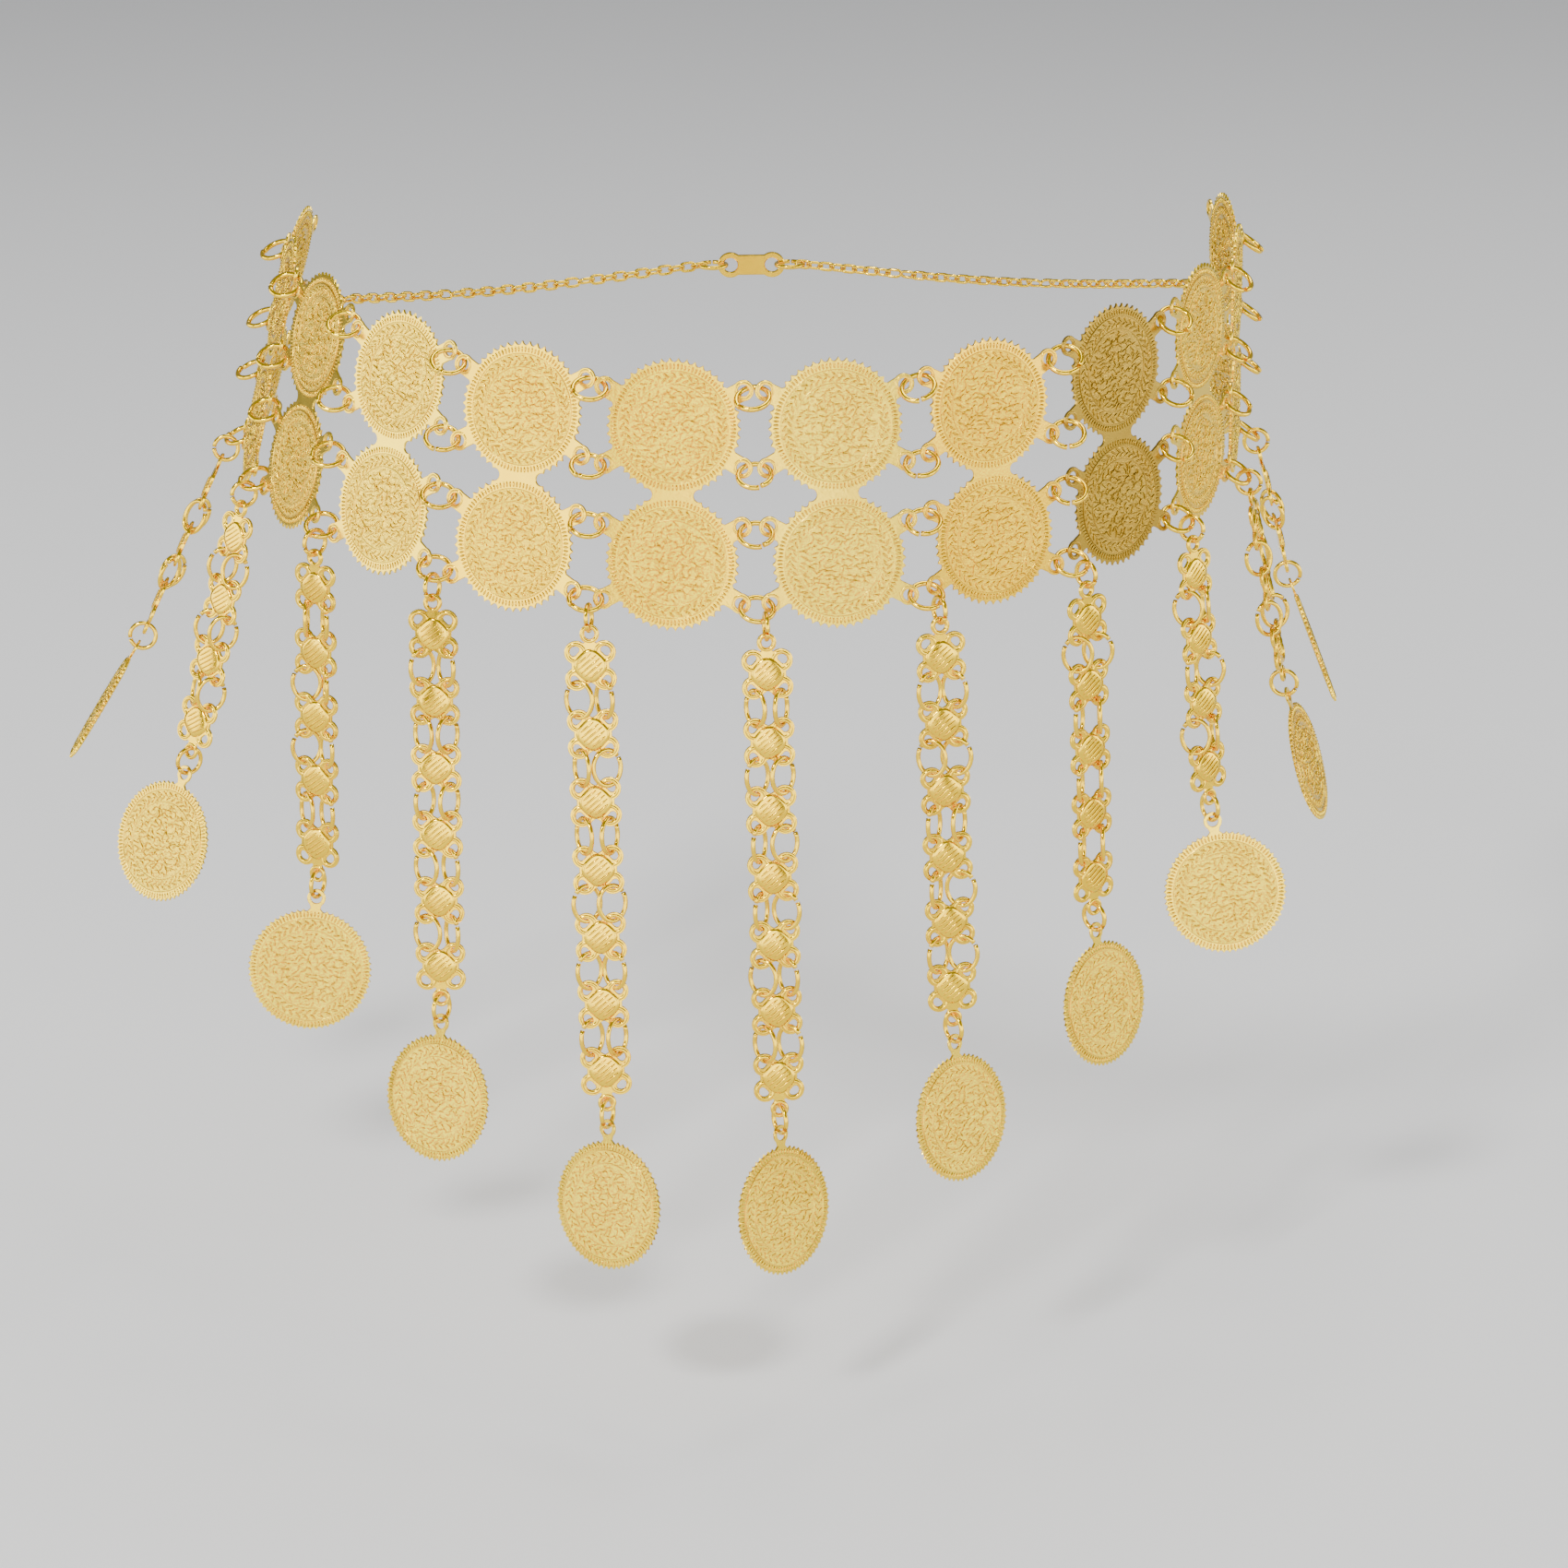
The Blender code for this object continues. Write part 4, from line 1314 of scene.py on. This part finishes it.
    def dress(
        self,
        patterns: dict[str, bpy.types.Mesh],
        relief: bpy.types.Mesh,
        wire: bpy.types.Material,
        coin: list[bpy.types.Material],
    ) -> None:
        """Makes both pieces of the drop and hands them in.

        Args:
            patterns: The first, middle and last link.
            relief: The relief of the coin's faces.
            wire: The gold of the links and rings.
            coin: The coin's gold and its grained fields' gold.
        """
        chain = new_object(f"drop_links_{self.number:02d}", self.chain_mesh(patterns, wire))
        hand_in(chain, f"hanging_{self.number:02d}", "wire_gold", f"drop_{self.number:02d}")
        pendant = new_object(f"drop_coin_{self.number:02d}", self.coin_mesh(relief, coin))
        hand_in(pendant, f"coin_{self.number:02d}", "coin_gold", f"pendant_{self.number:02d}")
        LOG.info("drop %d: %d links", self.number, self.links)


@dataclass
class ClosingChain:
    """Forked end piece, cable chain and end ring from an end plate to the middle of the back.

    Attributes:
        side: The side that it lies on.
        belt: The belt's path.
        rings: The jump rings, as between the plates.
        stand: Distance from the end plate's ears to the fork's root.
        ear_x: Distance of an ear's centre from its plate's upright axis.
        fork_length: Length of the fork from its root to its tip.
        fork_bar: Half its width at the tip.
        foot: How far its feet reach towards the plate.
        foot_half: Half the width of a foot.
        fork_back: How far the edge between the feet stands towards the plate.
        fork_width: How far the root reaches towards the tip.
        window_inset: How far the window's corners lie inside the ears' level.
        tip_solid: Solid length between the window and the tip.
        tip_radius: How far the tip's point reaches on.
        ring_point: How far towards the plate a jump ring meets a foot.
        thickness: The fork's thickness.
        edge: Width and height of its edge break.
        sag: How far the chain hangs below the belt's path.
        link_wire: Wire radius of a link.
        link_half: Half a link's length, from centre line to centre line.
        link_width: Half its width, from centre line to centre line.
        link_play: Play between two links.
        link_turns: Turns of the links about the chain, every other one, in degrees.
        hook_spacing: Distance between the hook's two holes.
        ring_radius: Radius of the end ring.
        ring_pull: How far the end ring is pulled in so that it touches the hook.
        ring_split: How wide its joint stands open to each side, in degrees.
        joint: Where a jump ring's joint lies, in degrees.
        steps: Steps of the chain's line.
    """

    side: Side
    belt: Belt
    rings: JumpRings
    stand: float = 7.0 * MM
    ear_x: float = 20.5 * MM
    fork_length: float = 20 * MM
    fork_bar: float = 2.4 * MM
    foot: float = 2.6 * MM
    foot_half: float = 1.9 * MM
    fork_back: float = 0.2 * MM
    fork_width: float = 1.8 * MM
    window_inset: float = 3.8 * MM
    tip_solid: float = 4.5 * MM
    tip_radius: float = 3.05 * MM
    ring_point: float = 1.0 * MM
    thickness: float = 1.2 * MM
    edge: float = 0.2 * MM
    sag: float = 6 * MM
    link_wire: float = 0.55 * MM
    link_half: float = 2.7 * MM
    link_width: float = 1.55 * MM
    link_play: float = 0.15 * MM
    link_turns: tuple[float, float] = (-52.0, 38.0)
    hook_spacing: float = 15 * MM
    ring_radius: float = 4.9 * MM
    ring_pull: float = 1.5 * MM
    ring_split: float = 4.0
    joint: float = 100.0
    steps: int = 120

    def fork(self, place: Place, half: float) -> bmesh.types.BMesh:
        """Returns the forked piece in world places, its feet at half a distance above and below."""
        side = self.side.value
        tip = side * self.fork_length
        lower = [
            (tip, self.fork_bar),
            (side * self.fork_width, half + self.foot_half),
            (-side * self.foot, half + self.foot_half),
            (-side * self.foot, half - self.foot_half),
            (-side * self.fork_back, half - 2 * self.foot_half),
        ]
        window = [
            (side * self.fork_width, self.window_inset - half),
            (tip - side * self.tip_solid, 0.0),
            (side * self.fork_width, half - self.window_inset),
        ]
        outline = [(tip + side * self.tip_radius, 0.0), *lower, *[(u, -v) for u, v in reversed(lower)]]
        shape = stamped_sheet([outline, window], self.thickness, self.edge)
        bmesh.ops.transform(shape, matrix=place.matrix(), verts=shape.verts)
        return shape

    def path(self, start: Vector, first: float, last: float) -> list[Vector]:
        """Returns the sagging line of the chain.

        Args:
            start: The fork's tip.
            first: Arc length of the tip round the belt.
            last: Arc length of the chain's end.

        Returns:
            Points from the tip to the end.
        """
        settle = start - self.belt.station(first)[0]
        points = []
        for step in range(self.steps + 1):
            share = step / self.steps
            point = self.belt.station(first + (last - first) * share)[0]
            points.append(point + settle * (1 - share) - UP * self.sag * math.sin(math.pi * share))
        return points

    def cable(self, path: list[Vector]) -> list[Solid]:
        """Returns oval links along a path, each turned a quarter from the last."""
        lengths = [0.0]
        for before, here in zip(path, path[1:]):
            lengths.append(lengths[-1] + (here - before).length)
        spacing = 2 * self.link_half - 2 * self.link_wire - self.link_play
        count = int(lengths[-1] / spacing)
        straight = self.link_half - self.link_width
        oval = [
            *arc((straight, 0.0), self.link_width, -90, 90, 7),
            *arc((-straight, 0.0), self.link_width, 90, 270, 7),
        ]
        made = []
        for step in range(count + 1):
            distance = lengths[-1] * step / count
            number = min(range(len(lengths)), key=lambda i: abs(lengths[i] - distance))
            ahead = (path[min(number + 1, len(path) - 1)] - path[max(number - 1, 0)]).normalized()
            flat = ahead.cross(UP).normalized()
            turn = math.radians(self.link_turns[step % 2])
            across = flat * math.cos(turn) + flat.cross(ahead) * math.sin(turn)
            place = Place(path[number], ahead, across)
            made.append(wire_loop([place.at(u, v) for u, v in oval], self.link_wire, sides=6))
        return made

    def dress(self, plate: CoinPlate, finish: bpy.types.Material) -> None:
        """Makes the closing chain of this side and hands it in.

        Args:
            plate: The double coin, for the places of its ears.
            finish: The chain's gold.
        """
        side = self.side.value
        label = self.side.name.lower()
        place = self.belt.plate(side * self.belt.per_side)
        fork_place = Place(place.at(side * (self.ear_x + self.stand), 0.0), place.u, place.v)
        ears = plate.ears()[1:3]
        shape = self.fork(fork_place, ears[1][1])
        for u, v in ears:
            eyes = [place.at(side * u, v), fork_place.at(-side * self.ring_point, v)][::side]
            add_solid(shape, self.rings.between(eyes[0], eyes[1], place, place, self.joint))
        first = (self.belt.per_side - 0.5) * self.belt.pitch + self.ear_x + self.stand + self.fork_length
        ring_distance = self.belt.length / 2 - self.hook_spacing / 2 - self.ring_pull - self.ring_radius
        last = ring_distance - self.ring_radius
        start = fork_place.at(side * self.fork_length, 0.0)
        for solid in self.cable(self.path(start, side * first, side * last)):
            add_solid(shape, solid)
        point, tangent, _, normal = self.belt.station(side * ring_distance)
        ring_place = Place(point, tangent, normal)
        flat = arc((0.0, 0.0), self.ring_radius, 90 + self.ring_split, 450 - self.ring_split, 28)
        ring = [ring_place.at(u, v) for u, v in flat]
        add_solid(shape, wire_loop(ring, self.rings.wire, closed=False))
        mesh = mesh_from("closing_chain_" + label, shape)
        mesh.materials.append(finish)
        hand_in(new_object("closing_chain_" + label, mesh), "belt", "wire_gold", "back_chain_" + label)
        LOG.info("closing chain on the %s", label)


@dataclass
class Hook:
    """The flat closing piece between the two back rings.

    Attributes:
        belt: The belt's path.
        spacing: Distance between its two holes.
        loop: Radius of its round ends.
        loop_reach: How far a round end runs to each side, in degrees.
        hole: Radius of a hole.
        thickness: Its thickness.
        edge: Width and height of its edge break.
    """

    belt: Belt
    spacing: float = 15 * MM
    loop: float = 4.6 * MM
    loop_reach: float = 128.0
    hole: float = 2.6 * MM
    thickness: float = 1.6 * MM
    edge: float = 0.3 * MM

    def dress(self, finish: bpy.types.Material) -> None:
        """Makes the hook and hands it in."""
        point, tangent, _, _ = self.belt.station(self.belt.length / 2)
        half = self.spacing / 2
        reach = self.loop_reach
        edge = [
            *arc((half, 0.0), self.loop, -reach, reach, 24),
            *arc((-half, 0.0), self.loop, 180 - reach, 180 + reach, 24),
        ]
        holes = [circle((half, 0.0), self.hole, 20), circle((-half, 0.0), self.hole, 20)]
        shape = stamped_sheet([edge, *holes], self.thickness, self.edge)
        bmesh.ops.transform(shape, matrix=Place(point, tangent, -UP).matrix(), verts=shape.verts)
        mesh = mesh_from("closing_hook", shape)
        mesh.materials.append(finish)
        hand_in(new_object("closing_hook", mesh), "belt", "wire_gold", "hook")
        LOG.info("hook")


@dataclass
class CoinBelt:
    """All the double coins and the jump rings between them.

    Attributes:
        belt: The belt's path.
        plate: The double coin.
        rings: The jump rings.
        painted_shade_tones: The gold of each plate that isn't pale, by its number, a deeper copy of the same
            gold as painted shade for a plate that mirrors darker surroundings.
        patterns: Different reliefs, used in turn.
        joints: Where a jump ring's joint may lie, in degrees.
        seed: Seed of the rings' joints.
    """

    belt: Belt
    plate: CoinPlate
    rings: JumpRings
    # Painted shade: the plates listed here get warmer or darker copies of the same gold where they mirror
    # darker surroundings
    painted_shade_tones: dict[int, Tone] = field(default_factory=lambda: {
        -2: Tone.WARM, -1: Tone.WARM, 2: Tone.DEEP, 3: Tone.BRONZE,
    })
    patterns: int = 4
    joints: tuple[float, ...] = (70.0, 100.0, 130.0)
    seed: int = 70

    def dress(self, wire: bpy.types.Material) -> None:
        """Makes every plate and its rings and hands them in."""
        order = self.belt.order()
        height = self.plate.thickness / 2
        plain = GoldFinish("plate_gold_warm", Tone.WARM).material()
        reliefs = [
            self.plate.ornament.relief(f"coin_relief_{number}", height, number, plain)
            for number in range(self.patterns)
        ]
        for step, number in enumerate(order):
            # A plate in the table gets its painted shade tone; the others keep the pale gold
            tone = self.painted_shade_tones.get(number, Tone.PALE)
            finishes = coin_finishes("plate_gold_" + tone.name.lower(), tone)
            pair = [reliefs[(step + coin) % self.patterns] for coin in (0, 1)]
            mesh = self.plate.mesh(finishes, pair)
            mesh.transform(self.belt.plate(number).matrix())
            name = plate_name(number)
            hand_in(new_object("coins_" + name, mesh), "belt", "plate_gold", name)
            if step + 1 < len(order):
                self.dress_gap(number, order[step + 1], wire)
            LOG.info("double coin %s", name)

    def dress_gap(self, left_number: int, right_number: int, wire: bpy.types.Material) -> None:
        """Makes the four jump rings of one gap and hands them in."""
        left, right = self.belt.plate(left_number), self.belt.plate(right_number)
        chance = random.Random(self.seed + left_number)
        shape = bmesh.new()
        for u, v in self.plate.ears():
            joint = chance.choice(self.joints)
            add_solid(shape, self.rings.between(left.at(u, v), right.at(-u, v), left, right, joint))
        mesh = mesh_from("jump_rings", shape)
        mesh.materials.append(wire)
        name = plate_name(left_number)
        hand_in(new_object("rings_after_" + name, mesh), "belt", "wire_gold")


@dataclass(frozen=True)
class Lamp:
    """A square soft light that faces the belt.

    Attributes:
        name: Its name.
        place: Where it hangs.
        size: Length of its side.
        power: Power in watts.
    """

    name: str
    place: tuple[float, float, float]
    size: float
    power: float

    def hang(self) -> None:
        """Adds the lamp to the scene."""
        data = bpy.data.lights.new(self.name, "AREA")
        data.size = self.size
        data.energy = self.power
        lamp = bpy.data.objects.new(self.name, data)
        lamp.location = self.place
        lamp.rotation_euler = (-lamp.location).to_track_quat("-Z", "Y").to_euler()
        bpy.context.scene.collection.objects.link(lamp)


@dataclass
class Studio:
    """Plain pale floor, soft lights and the camera at the photograph's angle.

    Attributes:
        lamps: The soft lights.
        surround_color: Colour of the even light from all round.
        surround_strength: Its strength.
        floor_drop: Distance of the floor below the lowest coin.
        floor_half: Half the side of the floor.
        floor_color: The floor's base colour.
        floor_roughness: Its roughness.
        eye: The camera's eye point.
        yaw: The camera's turn to the right, in degrees.
        pitch: Its tilt down, in degrees.
        roll: Its turn about its own axis, in degrees.
        focal: Focal length in pixels of the photograph.
        picture: The photograph's width in pixels.
        sensor: The sensor's width in millimetres.
        nearest: Nearest distance that the camera draws.
    """

    lamps: tuple[Lamp, ...] = (
        Lamp("front", (0.0, -2.5, 0.10), size=1.7, power=36.0),
        Lamp("front_left", (-1.9, -1.75, 0.05), size=1.7, power=36.0),
        Lamp("front_right", (1.9, -1.75, 0.05), size=1.7, power=36.0),
        Lamp("left", (-2.5, 0.15, 0.0), size=1.7, power=36.0),
        Lamp("right", (2.5, 0.15, 0.0), size=1.7, power=36.0),
        Lamp("key", (-1.0, -1.5, 1.7), size=0.35, power=34.0),
        Lamp("top", (0.3, 0.5, 2.2), size=1.2, power=30.0),
    )
    surround_color: tuple[float, float, float] = (0.95, 0.96, 1.0)
    surround_strength: float = 0.36
    floor_drop: float = 0.05
    floor_half: float = 20.0
    floor_color: tuple[float, float, float] = (0.84, 0.84, 0.83)
    floor_roughness: float = 0.9
    eye: Vector = field(default_factory=lambda: Vector((-0.002, -1.361, 0.336)))
    yaw: float = 0.46
    pitch: float = 19.43
    roll: float = -0.50
    focal: float = 4628.0
    picture: float = 1700.0
    sensor: float = 36.0
    nearest: float = 0.01

    def camera(self) -> None:
        """Places the camera from its eye point and three angles."""
        data = bpy.data.cameras.new("camera")
        data.sensor_width = self.sensor
        data.lens = self.sensor * self.focal / self.picture
        data.clip_start = self.nearest
        camera = bpy.data.objects.new("camera", data)
        yaw, pitch, roll = (math.radians(a) for a in (self.yaw, self.pitch, self.roll))
        ahead = Vector((math.sin(yaw) * math.cos(pitch), math.cos(yaw) * math.cos(pitch), -math.sin(pitch)))
        right = ahead.cross(UP).normalized()
        up = right.cross(ahead)
        turned_right = right * math.cos(roll) + up * math.sin(roll)
        turned_up = up * math.cos(roll) - right * math.sin(roll)
        axes = Matrix((turned_right, turned_up, -ahead)).transposed().to_4x4()
        camera.matrix_world = Matrix.Translation(self.eye) @ axes
        bpy.context.scene.collection.objects.link(camera)
        bpy.context.scene.camera = camera

    def floor(self) -> None:
        """Lays the floor below the lowest coin."""
        shape = bmesh.new()
        bmesh.ops.create_grid(shape, x_segments=1, y_segments=1, size=self.floor_half)
        ground = new_object("floor", mesh_from("floor", shape))
        ground.location.z = CAD_BOX[0].z - self.floor_drop
        material = bpy.data.materials.new("floor_pale")
        material.use_nodes = True
        shader = material.node_tree.nodes["Principled BSDF"]
        shader.inputs["Base Color"].default_value = (*self.floor_color, 1.0)
        shader.inputs["Roughness"].default_value = self.floor_roughness
        ground.data.materials.append(material)

    def lights(self) -> None:
        """Hangs the lamps and sets an even, dimmer surround."""
        for lamp in self.lamps:
            lamp.hang()
        world = bpy.data.worlds.new("surround")
        world.use_nodes = True
        surround = world.node_tree.nodes["Background"]
        surround.inputs["Color"].default_value = (*self.surround_color, 1.0)
        surround.inputs["Strength"].default_value = self.surround_strength
        bpy.context.scene.world = world


def main() -> None:
    """Builds every sub-assembly in order."""
    logging.basicConfig(level=logging.INFO, format="%(name)s: %(message)s")
    repeater = Repeater()
    ornament = Ornament(repeater)
    belt = Belt()
    plate = CoinPlate(ornament)
    rings = JumpRings()
    wire = GoldFinish("wire_gold_bright", Tone.WARM, grain=0.000006, grain_size=0.0006).material()
    coin = coin_finishes("coin_gold_pale", Tone.PALE)
    CoinBelt(belt, plate, rings).dress(wire)
    link = FlowerLink(repeater)
    ridge = ornament.ridge()
    patterns = {
        "first": link.mesh(True, False, ridge, wire),
        "middle": link.mesh(False, False, ridge, wire),
        "last": link.mesh(False, True, ridge, wire),
    }
    reliefs = [
        ornament.relief(f"drop_relief_{number}", plate.thickness / 2, DROP_RELIEF_SEED + number, coin[0])
        for number in range(DROP_RELIEFS)
    ]
    for number in range(1, 2 * belt.per_side):
        HangingDrop(number, link, ornament).dress(patterns, reliefs[number % DROP_RELIEFS], wire, coin)
    for side in Side:
        ClosingChain(side, belt, rings).dress(plate, wire)
    Hook(belt).dress(wire)
    studio = Studio()
    studio.floor()
    studio.lights()
    studio.camera()


if __name__ == "__main__":
    main()
